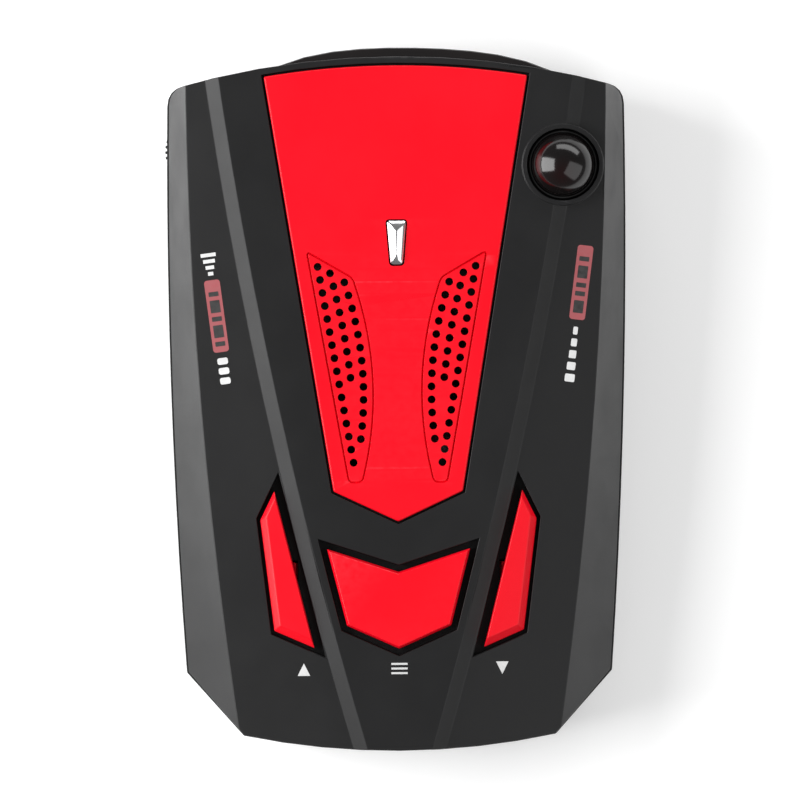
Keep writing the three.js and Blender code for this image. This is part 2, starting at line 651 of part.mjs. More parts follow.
function upperCover() {
  const pad = slab((y) => plateauZ(y) - TOP_WALL, () => CLEAR_OF_TOP)
    .intersect(prism(inset(PANEL_RECESS, -PANEL_FLOOR), 0, CLEAR_OF_TOP))
    .intersect(upperOuter);
  let shell = upperOuter.subtract(upperCavity).add(pad);
  for (const { well, floor } of Object.values(KEY_SEATS)) {
    const cup = prism(inset(well, -KEY_WELL_WALL), floor - KEY_WELL_WALL, CLEAR_OF_TOP);
    shell = shell.add(cup.intersect(upperOuter));
  }
  for (const [x, y] of CASE_BOSSES) {
    const boss = rod(CASE_BOSS_RADIUS, PARTING_Z + COVER_GAP, CLEAR_OF_TOP, x, y);
    shell = shell.add(boss.intersect(upperOuter));
  }
  shell = shell.add(rod(DOME_BOSS_RADIUS, DOME_BOSS_LOW_Z, DOME_SEAT_Z, DOME_X, DOME_Y, 32));
  for (const { well, x, y, floor } of Object.values(KEY_SEATS)) {
    const [halfX, halfY] = [STEM_LENGTH_X, STEM_WIDTH_Y].map((s) => s / 2 + STEM_CLEARANCE);
    const stemHole = box(x - halfX, x + halfX, y - halfY, y + halfY, floor - 3, floor + 1);
    shell = shell.subtract(prism(well, floor, CLEAR_OF_TOP)).subtract(stemHole);
  }
  for (const [x, y] of CASE_BOSSES) {
    const pilot = CASE_SCREW_RADIUS + CONTACT_GAP;
    shell = shell.subtract(rod(pilot, PARTING_Z - 1, CASE_SCREW_TIP_Z + 1, x, y, 12));
  }
  const recessDepth = slab((y) => plateauZ(y) - PANEL_DEPTH, () => CLEAR_OF_TOP);
  shell = shell.subtract(prism(PANEL_RECESS, 0, CLEAR_OF_TOP).intersect(recessDepth));
  for (const grille of [RIGHT_GRILLE, mirrored(RIGHT_GRILLE)])
    shell = shell.subtract(prism(inset(grille, GRILLE_LEDGE), PARTING_Z + 5, CLEAR_OF_TOP));
  const domeRadius = DOME_BASE_RADIUS + FIT_GAP;
  const ledgeZ = DOME_BOSS_LOW_Z + DOME_LEDGE;
  return shell
    .subtract(rod(domeRadius, ledgeZ, CLEAR_OF_TOP, DOME_X, DOME_Y, 32))
    .subtract(rod(DOME_BASE_RADIUS - DOME_LEDGE_REACH, 15, CLEAR_OF_TOP, DOME_X, DOME_Y, 32))
    .subtract(openingFor(FRONT_WINDOW, HALF_LENGTH - 15, HALF_LENGTH + 5))
    .subtract(openingFor(DISPLAY, REAR_Y - 5, REAR_Y + 8));
}

// ---------------------------------------------------------------- lower cover

const UNDERSIDE_Z = FOOT_PROUD;
const FLOOR_Z = UNDERSIDE_Z + WALL;
const LIP_OUTSET = COVER_REVEAL + WALL + LIP_CLEARANCE;
const BOARD_Z = FLOOR_Z + BOARD_STANDOFF;
const BOARD_TOP_Z = BOARD_Z + BOARD_THICKNESS;
const WHEEL_X = -(HALF_WIDTH + WHEEL_PROUD - WHEEL_RADIUS);
const WHEEL_CENTRE_Y = HALF_LENGTH - WHEEL_Y;
const WHEEL_TOP_Z = BOARD_Z - POT_HEIGHT - 0.2;
const WHEEL_LOW_Z = WHEEL_TOP_Z - WHEEL_THICKNESS;
const JACK_CENTRE_Y = HALF_LENGTH - JACK_Y;
const JACK_Z = BOARD_Z - JACK_BARREL_RADIUS;
const FEET = [
  [-(HALF_WIDTH - FOOT_FRONT_INSET_X), HALF_LENGTH - FOOT_FRONT_Y],
  [HALF_WIDTH - FOOT_FRONT_INSET_X, HALF_LENGTH - FOOT_FRONT_Y],
  [-(HALF_WIDTH - FOOT_REAR_INSET_X), REAR_Y + FOOT_REAR_Y],
  [HALF_WIDTH - FOOT_REAR_INSET_X, REAR_Y + FOOT_REAR_Y],
];
const BOARD_POSTS = [
  [-(HALF_WIDTH - BOARD_POST_INSET_X), REAR_Y + BOARD_POST_LEFT_Y],
  [HALF_WIDTH - BOARD_POST_INSET_X, REAR_Y + BOARD_POST_RIGHT_Y],
  [0, REAR_Y + BOARD_POST_REAR_Y],
];

const draftAt = (z) => (LOWER_DRAFT * (PARTING_Z - z)) / (PARTING_Z - UNDERSIDE_Z);
const lowerPlan = (z, wall) => planOutline(wall + draftAt(z));
/** X of the inside of the lower cover's right wall. */
const lowerInnerX = (y, z) => sideX(y) - draftAt(z) - WALL;

const VENT_COUNT = 6;
const VENT_PITCH = 3;
const VENT_LENGTH = 14;
const VENT_WIDTH = 1.3;

function lowerCover() {
  const chamferZ = UNDERSIDE_Z + LOWER_CHAMFER;
  const outer = stack([
    [lowerPlan(UNDERSIDE_Z, LOWER_CHAMFER), UNDERSIDE_Z],
    [lowerPlan(chamferZ, 0), chamferZ],
    [lowerPlan(PARTING_Z, 0), PARTING_Z],
  ]);
  const cavity = stack([
    [lowerPlan(FLOOR_Z, WALL), FLOOR_Z],
    [lowerPlan(PARTING_Z + 1, WALL), PARTING_Z + 1],
  ]);
  const lipTop = PARTING_Z + LIP_HEIGHT;
  let lip = prism(planOutline(LIP_OUTSET), PARTING_Z - 1.5, lipTop).subtract(
    prism(planOutline(LIP_OUTSET + LIP_WALL), PARTING_Z - 2, lipTop + 1),
  );
  for (const [x, y] of CASE_BOSSES)
    lip = lip.subtract(rod(CASE_BOSS_RADIUS + LIP_CLEARANCE, PARTING_Z, lipTop + 1, x, y));
  let shell = outer.subtract(cavity).add(lip);
  for (const [x, y] of CASE_BOSSES) {
    shell = shell.add(rod(CASE_BOSS_RADIUS, UNDERSIDE_Z + 0.5, PARTING_Z, x, y));
  }
  for (const [x, y] of BOARD_POSTS)
    shell = shell.add(rod(BOARD_POST_RADIUS, UNDERSIDE_Z + 0.5, BOARD_Z, x, y, 16));
  for (const [x, y] of CASE_BOSSES) {
    shell = shell
      .subtract(rod(CASE_SCREW_HEAD_RADIUS + FIT_GAP, 0, CASE_SCREW_SEAT_Z, x, y, 20))
      .subtract(rod(CASE_SCREW_RADIUS + FIT_GAP, 0, PARTING_Z + 1, x, y, 12));
  }
  for (const [x, y] of BOARD_POSTS) {
    const pilot = BOARD_SCREW_RADIUS + CONTACT_GAP;
    shell = shell.subtract(rod(pilot, BOARD_TOP_Z - BOARD_SCREW_LENGTH - 0.5, BOARD_Z + 1, x, y, 12));
  }
  for (const [x, y] of FEET)
    shell = shell.subtract(rod(FOOT_RADIUS + 0.2, 0, UNDERSIDE_Z + FOOT_SEAT, x, y, 24));
  for (let i = 0; i < VENT_COUNT; i++) {
    const y = HALF_LENGTH - 42 - i * VENT_PITCH;
    const half = VENT_LENGTH / 2;
    shell = shell.subtract(box(-half, half, y - VENT_WIDTH, y, 0, FLOOR_Z + 1));
  }
  const slotRadius = WHEEL_RADIUS + WHEEL_SLOT_CLEARANCE;
  const slot = rod(
    slotRadius,
    WHEEL_LOW_Z - WHEEL_SLOT_CLEARANCE,
    WHEEL_TOP_Z + WHEEL_SLOT_CLEARANCE,
    WHEEL_X,
    WHEEL_CENTRE_Y,
    32,
  );
  const jackHole = solid(
    new THREE.CylinderGeometry(JACK_BARREL_RADIUS + FIT_GAP, JACK_BARREL_RADIUS + FIT_GAP, 12, 24)
      .rotateZ(Math.PI / 2)
      .translate(HALF_WIDTH, JACK_CENTRE_Y, JACK_Z),
  );
  return shell.subtract(slot).subtract(jackHole);
}

// ---------------------------------------------------------------- panel and stud

const STUD_FRONT_Y = GRILLE_FRONT_Y + STUD_AHEAD_OF_GRILLE;

/** The stud's plan, grown or shrunk by a margin, anticlockwise from its left front corner. */
const studOutline = (margin) =>
  inset(
    [
      point(-STUD_FRONT_WIDTH / 2, STUD_FRONT_Y),
      point(-STUD_REAR_WIDTH / 2, STUD_FRONT_Y - STUD_LENGTH),
      point(STUD_REAR_WIDTH / 2, STUD_FRONT_Y - STUD_LENGTH),
      point(STUD_FRONT_WIDTH / 2, STUD_FRONT_Y),
    ],
    margin,
  );

function accentPanel() {
  const body = slab(
    (y) => plateauZ(y) - PANEL_DEPTH + 0.1,
    (y) => plateauZ(y) + PANEL_PROUD,
  ).intersect(prism(inset(PANEL_RECESS, PANEL_GAP), 0, CLEAR_OF_TOP));
  const bores = grilleHoles().flatMap((p) =>
    [p.x, -p.x].map((x) => rod(HOLE_RADIUS, 10, CLEAR_OF_TOP, x, p.y, 6)),
  );
  const perforated = body.subtract(wasm.Manifold.union(bores));
  return perforated.subtract(prism(studOutline(-0.2), 10, CLEAR_OF_TOP));
}

function chromeStud() {
  const low = plateauZ(STUD_FRONT_Y) - PANEL_DEPTH + 0.3;
  const girdle = (x, y) => plateauZ(y) + PANEL_PROUD + 0.15;
  const table = (x, y) => plateauZ(y) + PANEL_PROUD + STUD_HEIGHT;
  return stack([
    [studOutline(0), low],
    [studOutline(0), girdle],
    [studOutline(0.55), table],
  ]);
}

// ---------------------------------------------------------------- keys and switches

const SWITCH_TOP_Z = BOARD_TOP_Z + SWITCH_HEIGHT;
const PLUNGER_TOP_Z = SWITCH_TOP_Z + PLUNGER_HEIGHT;

/** A key: a bevelled cap, a stem down to its switch and a snap hook under the well's floor. */
function keyCap({ cap, x, y, floor }, bevels) {
  const slope = (dx, dy) => (surfaceZ(x + dx, y + dy) - surfaceZ(x - dx, y - dy)) / 2;
  const [alongX, alongY] = [slope(0.5, 0) * 2, slope(0, 0.5) * 2];
  const tilted = (above) => (px, py) =>
    surfaceZ(x, y) + above + alongX * (px - x) + alongY * (py - y);
  const underside = floor + KEY_TRAVEL + KEY_UNDER_CLEARANCE;
  const top = stack([
    [cap, underside],
    [cap, tilted(KEY_PROUD - KEY_BEVEL_DROP)],
    [inset(cap, bevels), tilted(KEY_PROUD)],
  ]);
  const [halfX, halfY] = [STEM_LENGTH_X / 2, STEM_WIDTH_Y / 2];
  const stemLow = PLUNGER_TOP_Z + CONTACT_GAP;
  const stem = box(x - halfX, x + halfX, y - halfY, y + halfY, stemLow, underside + 0.5);
  const hookTop = floor - KEY_WELL_WALL - 0.1;
  const reach = halfX + STEM_CLEARANCE + HOOK_REACH;
  const hook = box(x - reach, x + reach, y - halfY, y + halfY, hookTop - HOOK_HEIGHT, hookTop);
  return top.add(stem).add(hook);
}

const SIDE_KEY_BEVELS = [0.12, 1.05, 0.95, 0.6]; // inner, rear, outer and front edges
const MENU_KEY_BEVELS = [0.3, 0.3, 0.3, 0.3, 0.3, 0.3];
const LEFT_KEY_BEVELS = mirroredEdges(SIDE_KEY_BEVELS);

function switchBody() {
  const half = SWITCH_SIZE / 2;
  const body = box(-half, half, -half, half, 0, SWITCH_HEIGHT);
  const well = rod(PLUNGER_RADIUS + PLUNGER_CLEARANCE, 1, SWITCH_HEIGHT + 1, 0, 0, 20);
  return body.subtract(well);
}

const switchPlunger = () => {
  const low = 1 + KEY_TRAVEL + KEY_UNDER_CLEARANCE;
  return rod(PLUNGER_RADIUS, low, SWITCH_HEIGHT + PLUNGER_HEIGHT, 0, 0, 20);
};

// ---------------------------------------------------------------- dome and windows

function domeLens() {
  const centreZ = DOME_SEAT_Z - 0.2;
  const innerRadius = DOME_RADIUS - DOME_WALL;
  const low = DOME_BOSS_LOW_Z + DOME_LEDGE + CONTACT_GAP;
  const arc = (radius, from, to) =>
    steps(from, to, 6).map((a) => [
      Math.max(radius * Math.cos(a), 0),
      centreZ + radius * Math.sin(a),
    ]);
  const profile = [
    ...arc(innerRadius, Math.PI / 2, 0),
    [innerRadius, low],
    [DOME_BASE_RADIUS, low],
    [DOME_BASE_RADIUS, centreZ],
    ...arc(DOME_RADIUS, 0, Math.PI / 2),
  ];
  profile[0][0] = 0;
  profile[profile.length - 1][0] = 0;
  return turned(profile, 28);
}

const wallInnerFront = (x) => frontArcY(x) - COVER_REVEAL - WALL;
const wallInnerRear = (x) => rearArcY(x) + COVER_REVEAL + WALL;

function frontWindow() {
  const { x0, x1, z0, z1 } = FRONT_WINDOW;
  const bulge = (x) => {
    const t = (2 * x - x0 - x1) / (x1 - x0);
    return FRONT_WINDOW_PROUD * (1 - t ** 4) - COVER_REVEAL * t ** 4;
  };
  return windowShape(x0, x1, z0, z1, (x) => frontArcY(x) + bulge(x), wallInnerFront, -1);
}

const displayWindow = () => {
  const { x0, x1, z0, z1 } = DISPLAY;
  return windowShape(x0, x1, z0, z1, (x) => rearArcY(x) + COVER_REVEAL + 0.15, wallInnerRear, 1);
};

// ---------------------------------------------------------------- circuit board

const HORN_LEFT_X = WHEEL_X + WHEEL_RADIUS + 1.2;
const HORN_X = HORN_LEFT_X + HORN_WIDTH / 2;
const HORN_FRONT_Y = COVER_FRONT_Y - 6.6;
const HORN_REAR_Y = HORN_FRONT_Y - HORN_LENGTH;
const HORN_LOW_Z = FLOOR_Z + FIT_GAP;
const BOARD_REAR_Y = REAR_Y + 7;

function mainBoard() {
  const edge = planOutline(LIP_OUTSET + LIP_WALL + BOARD_CLEARANCE);
  let board = prism(edge, BOARD_Z, BOARD_TOP_Z);
  board = board.subtract(box(-50, 50, REAR_Y - 5, BOARD_REAR_Y, 0, 20));
  const notch = box(
    HORN_LEFT_X - 0.6,
    HORN_LEFT_X + HORN_WIDTH + 0.6,
    HORN_REAR_Y - 0.6,
    HALF_LENGTH,
    0,
    20,
  );
  board = board.subtract(notch);
  for (const [x, y] of CASE_BOSSES)
    board = board.subtract(rod(CASE_BOSS_RADIUS + 0.5, 0, 20, x, y, 20));
  for (const [x, y] of BOARD_POSTS)
    board = board.subtract(rod(BOARD_SCREW_RADIUS + 0.3, 0, 20, x, y, 12));
  return board.subtract(rod(SPINDLE_RADIUS + 0.4, 0, 20, WHEEL_X, WHEEL_CENTRE_Y, 16));
}

// Display stack behind the rear window
const DISPLAY_BOARD_THICKNESS = 1.2;
const DISPLAY_MODULE_DEPTH = 2.4;
const MODULE_REAR_Y = wallInnerRear(DISPLAY_HALF) + FIT_GAP + WINDOW_FLANGE + 0.3;
const MODULE_FRONT_Y = MODULE_REAR_Y + DISPLAY_MODULE_DEPTH;
const DISPLAY_BOARD_FRONT_Y = MODULE_FRONT_Y + DISPLAY_BOARD_THICKNESS;

// ---------------------------------------------------------------- horn antenna

/** The horn casting: a block whose mouth opens forwards and narrows to a waveguide. */
function hornAntenna() {
  const half = HORN_WIDTH / 2;
  const block = box(-half, half, -HORN_LENGTH, 0, 0, HORN_HEIGHT);
  const mouth = { x: half - HORN_WALL, low: HORN_WALL, high: HORN_HEIGHT - HORN_WALL };
  const throat = { x: 5, low: HORN_HEIGHT / 2 - 2.2, high: HORN_HEIGHT / 2 + 2.2 };
  const ring = (s, y) => [
    new THREE.Vector3(-s.x, y, s.low),
    new THREE.Vector3(s.x, y, s.low),
    new THREE.Vector3(s.x, y, s.high),
    new THREE.Vector3(-s.x, y, s.high),
  ];
  const flare = loft(
    [ring(mouth, 1), ring(mouth, 0), ring(throat, -15), ring(throat, -HORN_LENGTH + HORN_WALL)],
    (p) => new THREE.Vector2(p.x, p.z),
  );
  return block.subtract(flare);
}

// ---------------------------------------------------------------- speaker

const SPEAKER_Y = (GRILLE_FRONT_Y + GRILLE_REAR_Y) / 2;
const SPEAKER_TOP_Z =
  Math.min(plateauZ(SPEAKER_Y - SPEAKER_RADIUS), plateauZ(SPEAKER_Y + SPEAKER_RADIUS)) -
  TOP_WALL -
  FIT_GAP;
const SPEAKER_RIM = 1.6;

/** The speaker's frame: a dished ring, open on top for the cone and in its floor for the coil. */
const speakerFrame = () =>
  rod(SPEAKER_RADIUS, -SPEAKER_DEPTH, 0, 0, 0, 32)
    .subtract(rod(SPEAKER_RADIUS - SPEAKER_RIM, -SPEAKER_DEPTH + 1, 1, 0, 0, 32))
    .subtract(rod(MAGNET_RADIUS - 2.2, -SPEAKER_DEPTH - 1, 1, 0, 0, 24));

function speakerCone() {
  const rim = SPEAKER_RADIUS - SPEAKER_RIM - 0.3;
  const depth = SPEAKER_DEPTH - 1 - CONE_STROKE - 0.3;
  return turned(
    [
      [0, -depth + 0.3],
      [3.4, -depth],
      [4.2, -depth],
      [rim, -0.9],
      [rim, -0.5],
      [4.4, -depth + 0.5],
      [2.6, -depth + 1],
      [0, -depth + 1.3],
    ],
    32,
  );
}

/** The speaker's lead, from its rim down to the plug on the board. */
function speakerLead(offset) {
  const route = new THREE.CatmullRomCurve3([
    new THREE.Vector3(SPEAKER_RADIUS - 0.8 + offset, SPEAKER_Y - 4, SPEAKER_TOP_Z - SPEAKER_DEPTH - 0.3),
    new THREE.Vector3(SPEAKER_RADIUS + 0.2 + offset, SPEAKER_Y - 5.5, SPEAKER_TOP_Z - SPEAKER_DEPTH - 2.2),
    new THREE.Vector3(SPEAKER_RADIUS + 1.2 + offset, SPEAKER_Y - 8, BOARD_TOP_Z + 4.6),
    new THREE.Vector3(SPEAKER_RADIUS + 1.2 + offset, SPEAKER_Y - 9, BOARD_TOP_Z + 3.3),
  ]);
  const section = new THREE.Shape().absarc(0, 0, 0.5, 0, Math.PI * 2);
  const settings = { steps: 10, extrudePath: route, curveSegments: 4 };
  return new THREE.ExtrudeGeometry(section, settings);
}

// ---------------------------------------------------------------- fasteners, wheel and socket

/** A pan-head screw, head down, its shank pointing up from z 0. */
const screw = (shankRadius, headRadius, length) =>
  turned(
    [
      [0, -SCREW_HEAD_HEIGHT],
      [headRadius * 0.8, -SCREW_HEAD_HEIGHT],
      [headRadius, -SCREW_HEAD_HEIGHT * 0.4],
      [headRadius, 0],
      [shankRadius, 0],
      [shankRadius, length - 1],
      [0, length],
    ],
    12,
  ).subtract(box(-headRadius * 0.6, headRadius * 0.6, -0.25, 0.25, -3, -0.8))
   .subtract(box(-0.25, 0.25, -headRadius * 0.6, headRadius * 0.6, -3, -0.8));

const WHEEL_TEETH = 20;
function volumeWheel() {
  const rim = steps(0, 2 * Math.PI, WHEEL_TEETH * 2)
    .slice(0, -1)
    .map((a, i) => {
      const radius = i % 2 ? WHEEL_RADIUS - 0.35 : WHEEL_RADIUS;
      return point(radius * Math.cos(a), radius * Math.sin(a));
    });
  const disc = prism(rim, 0, WHEEL_THICKNESS);
  const dish = rod(WHEEL_RADIUS - 1.6, WHEEL_THICKNESS - 0.6, WHEEL_THICKNESS + 1, 0, 0, 24);
  return disc.subtract(dish).subtract(rod(SPINDLE_RADIUS + 0.05, -1, WHEEL_THICKNESS + 1, 0, 0, 20));
}

const JACK_MOUTH_X = sideX(JACK_CENTRE_Y) - draftAt(JACK_Z) - JACK_SUNK;

function powerSocket() {
  const half = JACK_WIDTH / 2;
  const height = BOARD_Z - JACK_Z;
  const shoulder = lowerInnerX(JACK_CENTRE_Y - half, JACK_Z - height) - FIT_GAP - JACK_MOUTH_X;
  const body = box(-JACK_LENGTH, shoulder, -half, half, -height, height - 0.02);
  const along = (radius, from, to) =>
    solid(
      new THREE.CylinderGeometry(radius, radius, to - from, 16)
        .rotateZ(Math.PI / 2)
        .translate((from + to) / 2, 0, 0),
    );
  return body
    .add(along(JACK_BARREL_RADIUS, shoulder - 0.8, 0))
    .subtract(along(JACK_BORE_RADIUS, -JACK_LENGTH + 1.2, 1))
    .add(along(JACK_PIN_RADIUS, -JACK_LENGTH + 1, -0.6));
}

// ---------------------------------------------------------------- assembly

const detector = new THREE.Group();
detector.name = "radar_detector";

/** Adds one named sub-part, placed at x, y, z. */
function place(name, shape, material, [x, y, z] = [0, 0, 0]) {
  const geometry = shape.isBufferGeometry ? shape : geometryOf(shape);
  const mesh = new THREE.Mesh(geometry, material);
  mesh.name = name;
  mesh.position.set(x, y, z);
  detector.add(mesh);
  return mesh;
}

// Case
place("top_cover", upperCover(), BLACK_SHELL);
place("bottom_cover", lowerCover(), BLACK_SHELL);
place("accent_panel", accentPanel(), RED_SATIN);
place("chrome_stud", chromeStud(), CHROME);
place("front_window", frontWindow(), SMOKED);
place("display_window", displayWindow(), SMOKED);
place("dome_lens", domeLens(), SMOKED, [DOME_X, DOME_Y, 0]);

// Keys and their switches
const KEYS = { up: LEFT_KEY_BEVELS, menu: MENU_KEY_BEVELS, down: SIDE_KEY_BEVELS };
for (const [name, bevels] of Object.entries(KEYS)) {
  const seat = KEY_SEATS[name];
  place(`${name}_button`, keyCap(seat, bevels), RED_SATIN);
  place(`${name}_switch`, switchBody(), BLACK_PART, [seat.x, seat.y, BOARD_TOP_Z]);
  place(`${name}_plunger`, switchPlunger(), BLACK_PART, [seat.x, seat.y, BOARD_TOP_Z]);
}

// Circuit board and its parts
place("main_board", mainBoard(), BOARD_GREEN);
const chipY = KEY_SEATS.menu.y + 17;
place("processor_chip", box(-6, 6, -6, 6, 0, 1.5), BLACK_PART, [-3, chipY, BOARD_TOP_Z]);
place("amplifier_chip", box(-2.5, 2.5, -2, 2, 0, 1.3), BLACK_PART, [7, chipY - 2, BOARD_TOP_Z]);
const canProfile = [[0, 0], [2.4, 0], [2.4, 3.1], [0, 3.1]];
place("crystal", turned(canProfile, 16), METAL, [8, chipY + 6, BOARD_TOP_Z]);
const capacitorX = HALF_WIDTH - BOARD_POST_INSET_X - 3.5;
const regulatorX = -(HALF_WIDTH - BOARD_POST_INSET_X - 6.5);
const capacitor = (radius, height) =>
  turned([[0, 0], [radius, 0], [radius, height - 0.4], [radius - 0.4, height], [0, height]], 20);
place("filter_capacitor_1", capacitor(2.6, 6), FERRITE, [capacitorX, chipY + 3, BOARD_TOP_Z]);
place("filter_capacitor_2", capacitor(2.6, 6), FERRITE, [capacitorX, chipY + 17, BOARD_TOP_Z]);
const regulator = box(-3.3, 3.3, -2.8, 3.2, 0, 2.3);
place("voltage_regulator", regulator, BLACK_PART, [regulatorX, chipY + 3, BOARD_TOP_Z]);

// Display stack
const moduleHalf = DISPLAY_HALF - 1.2;
place(
  "display_module",
  box(-moduleHalf, moduleHalf, MODULE_REAR_Y, MODULE_FRONT_Y, DISPLAY.z0 + 0.3, DISPLAY.z1 - 0.3),
  LED_FACE,
);
place(
  "display_board",
  box(
    -moduleHalf - 0.5,
    moduleHalf + 0.5,
    MODULE_FRONT_Y,
    DISPLAY_BOARD_FRONT_Y,
    BOARD_TOP_Z + 0.3,
    DISPLAY.z1,
  ),
  BOARD_GREEN,
);
place(
  "display_header",
  box(-9, 9, DISPLAY_BOARD_FRONT_Y, DISPLAY_BOARD_FRONT_Y + 2.5, BOARD_TOP_Z, BOARD_TOP_Z + 2.5),
  BLACK_PART,
);

// Microwave front end
place("horn_antenna", hornAntenna(), CAST_METAL, [HORN_X, HORN_FRONT_Y, HORN_LOW_Z]);
const mixerZ = HORN_LOW_Z + HORN_HEIGHT;
const mixerHalf = HORN_WIDTH / 2 - 0.5;
place(
  "mixer_board",
  box(-mixerHalf, mixerHalf, -HORN_LENGTH + 0.5, -3, 0, MIXER_THICKNESS),
  BOARD_GREEN,
  [HORN_X, HORN_FRONT_Y, mixerZ],
);
const shieldHalf = mixerHalf - 1.5;
place(
  "mixer_shield",
  box(-shieldHalf, shieldHalf, -HORN_LENGTH + 2, -6, 0, SHIELD_HEIGHT).subtract(
    box(-shieldHalf + 0.5, shieldHalf - 0.5, -HORN_LENGTH + 2.5, -6.5, -1, SHIELD_HEIGHT - 0.5),
  ),
  METAL,
  [HORN_X, HORN_FRONT_Y, mixerZ + MIXER_THICKNESS],
);

// Laser receivers: a lens and diode behind the front window, a light guide and diode under the dome
const LENS_RADIUS = 4;
const receiverX = HORN_LEFT_X + HORN_WIDTH + 0.6 + 1 + LENS_RADIUS + 1;
const receiverZ = FRONT_WINDOW.z0 + FRONT_WINDOW_HEIGHT / 2;
const holderY = frontArcY(HALF_WIDTH) - 6.3;
const holderHalf = LENS_RADIUS + 1;
const forward = (radius, from, to, segments = 24) =>
  solid(
    new THREE.CylinderGeometry(radius, radius, to - from, segments).translate(0, (from + to) / 2, 0),
  );
place(
  "lens_holder",
  box(-holderHalf, holderHalf, -3, 3, BOARD_TOP_Z - receiverZ, holderHalf - 0.4)
    .subtract(forward(LENS_RADIUS + 0.1, -1, 4))
    .subtract(forward(LENS_RADIUS - 1, -4, 4)),
  BLACK_PART,
  [receiverX, holderY, receiverZ],
);
const lensProfile = [
  [0, -0.9],
  [LENS_RADIUS, -0.9],
  [LENS_RADIUS, 0.2],
  [LENS_RADIUS * 0.75, 1.2],
  [LENS_RADIUS * 0.4, 1.75],
  [0, 1.95],
];
place(
  "collector_lens",
  geometryOf(turned(lensProfile, 24)).rotateX(-Math.PI / 2),
  CLEAR,
  [receiverX, holderY, receiverZ],
);
place(
  "front_photodiode",
  box(-2.2, 2.2, -1.4, 0, BOARD_TOP_Z - receiverZ, 2.2),
  BLACK_PART,
  [receiverX, holderY - 3.2, receiverZ],
);
place(
  "dome_photodiode",
  box(-2.2, 2.2, -2.2, 2.2, 0, 1.4),
  BLACK_PART,
  [DOME_X, DOME_Y, BOARD_TOP_Z],
);
const guideLow = BOARD_TOP_Z + 1.4 + 0.1;
place(
  "dome_light_guide",
  turned([[0, guideLow], [1.5, guideLow], [2.3, DOME_BOSS_LOW_Z], [2.6, DOME_SEAT_Z - 0.6], [0, DOME_SEAT_Z - 1.8]], 20),
  CLEAR,
  [DOME_X, DOME_Y, 0],
);

// Speaker
const speakerAt = [0, SPEAKER_Y, SPEAKER_TOP_Z];
place("speaker_frame", speakerFrame(), METAL, speakerAt);
place("speaker_cone", speakerCone(), PAPER_CONE, speakerAt);
place(
  "speaker_magnet",
  rod(MAGNET_RADIUS, -SPEAKER_DEPTH - MAGNET_HEIGHT, -SPEAKER_DEPTH, 0, 0, 28),
  FERRITE,
  speakerAt,
);
place("speaker_lead_1", speakerLead(0), WIRE_RED);
place("speaker_lead_2", speakerLead(1.3), BLACK_PART);
place(
  "speaker_plug",
  box(SPEAKER_RADIUS - 0.6, SPEAKER_RADIUS + 4.4, SPEAKER_Y - 10.6, SPEAKER_Y - 7, 0, 3),
  LABEL,
  [0, 0, BOARD_TOP_Z],
);

// Volume control
place("volume_wheel", volumeWheel(), DARK_RUBBER, [WHEEL_X, WHEEL_CENTRE_Y, WHEEL_LOW_Z]);
place(
  "volume_spindle",
  rod(SPINDLE_RADIUS, WHEEL_LOW_Z + 0.2, BOARD_Z + 0.8, 0, 0, 20),
  METAL,
  [WHEEL_X, WHEEL_CENTRE_Y, 0],
);
const potHalf = POT_SIZE / 2;
const potOuterX = -lowerInnerX(WHEEL_CENTRE_Y, BOARD_Z - POT_HEIGHT) + FIT_GAP - WHEEL_X;
place(
  "volume_control",
  box(potOuterX, potHalf, -potHalf, potHalf, -POT_HEIGHT, 0).subtract(
    rod(SPINDLE_RADIUS + 0.1, -5, 5, 0, 0, 20),
  ),
  BLACK_PART,
  [WHEEL_X, WHEEL_CENTRE_Y, BOARD_Z],
);

// Power socket
place("power_socket", powerSocket(), BLACK_PART, [JACK_MOUTH_X, JACK_CENTRE_Y, JACK_Z]);

// Fasteners, feet and label
CASE_BOSSES.forEach(([x, y], i) =>
  place(
    `case_screw_${i + 1}`,
    screw(CASE_SCREW_RADIUS, CASE_SCREW_HEAD_RADIUS, CASE_SCREW_LENGTH),
    METAL,
    [x, y, CASE_SCREW_SEAT_Z],
  ),
);
BOARD_POSTS.forEach(([x, y], i) => {
  const mesh = place(
    `board_screw_${i + 1}`,
    screw(BOARD_SCREW_RADIUS, BOARD_SCREW_HEAD_RADIUS, BOARD_SCREW_LENGTH),
    METAL,
    [x, y, BOARD_TOP_Z],
  );
  mesh.rotation.x = Math.PI;
});
const footProfile = [
  [0, 0],
  [FOOT_RADIUS - 0.4, 0],
  [FOOT_RADIUS, 0.4],
  [FOOT_RADIUS, FOOT_PROUD + FOOT_SEAT],
  [0, FOOT_PROUD + FOOT_SEAT],
];
FEET.forEach(([x, y], i) =>
  place(`foot_${i + 1}`, turned(footProfile, 28), DARK_RUBBER, [x, y, 0]),
);
const labelHalf = HALF_WIDTH - FOOT_REAR_INSET_X - FOOT_RADIUS - LABEL_TO_FOOT;
place(
  "rating_label",
  box(-labelHalf, labelHalf, -LABEL_LENGTH / 2, LABEL_LENGTH / 2, -LABEL_THICKNESS, 0),
  LABEL,
  [0, REAR_Y + LABEL_Y, UNDERSIDE_Z],
);

export default detector;
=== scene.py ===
"""Dashboard radar detector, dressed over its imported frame.

The case, keys and windows are refined from their solids. The speaker panel, dome, thumbwheel, feet,
screws, socket and printed marks are modelled afresh. Lengths are in metres, +Z is up, +Y points to the
windscreen and the origin is on the ground under the middle of the case.
"""

import json
import logging
import math
from dataclasses import dataclass, field
from enum import Enum
from typing import Callable, Sequence

import bmesh
import bpy
from mathutils import Matrix, Vector


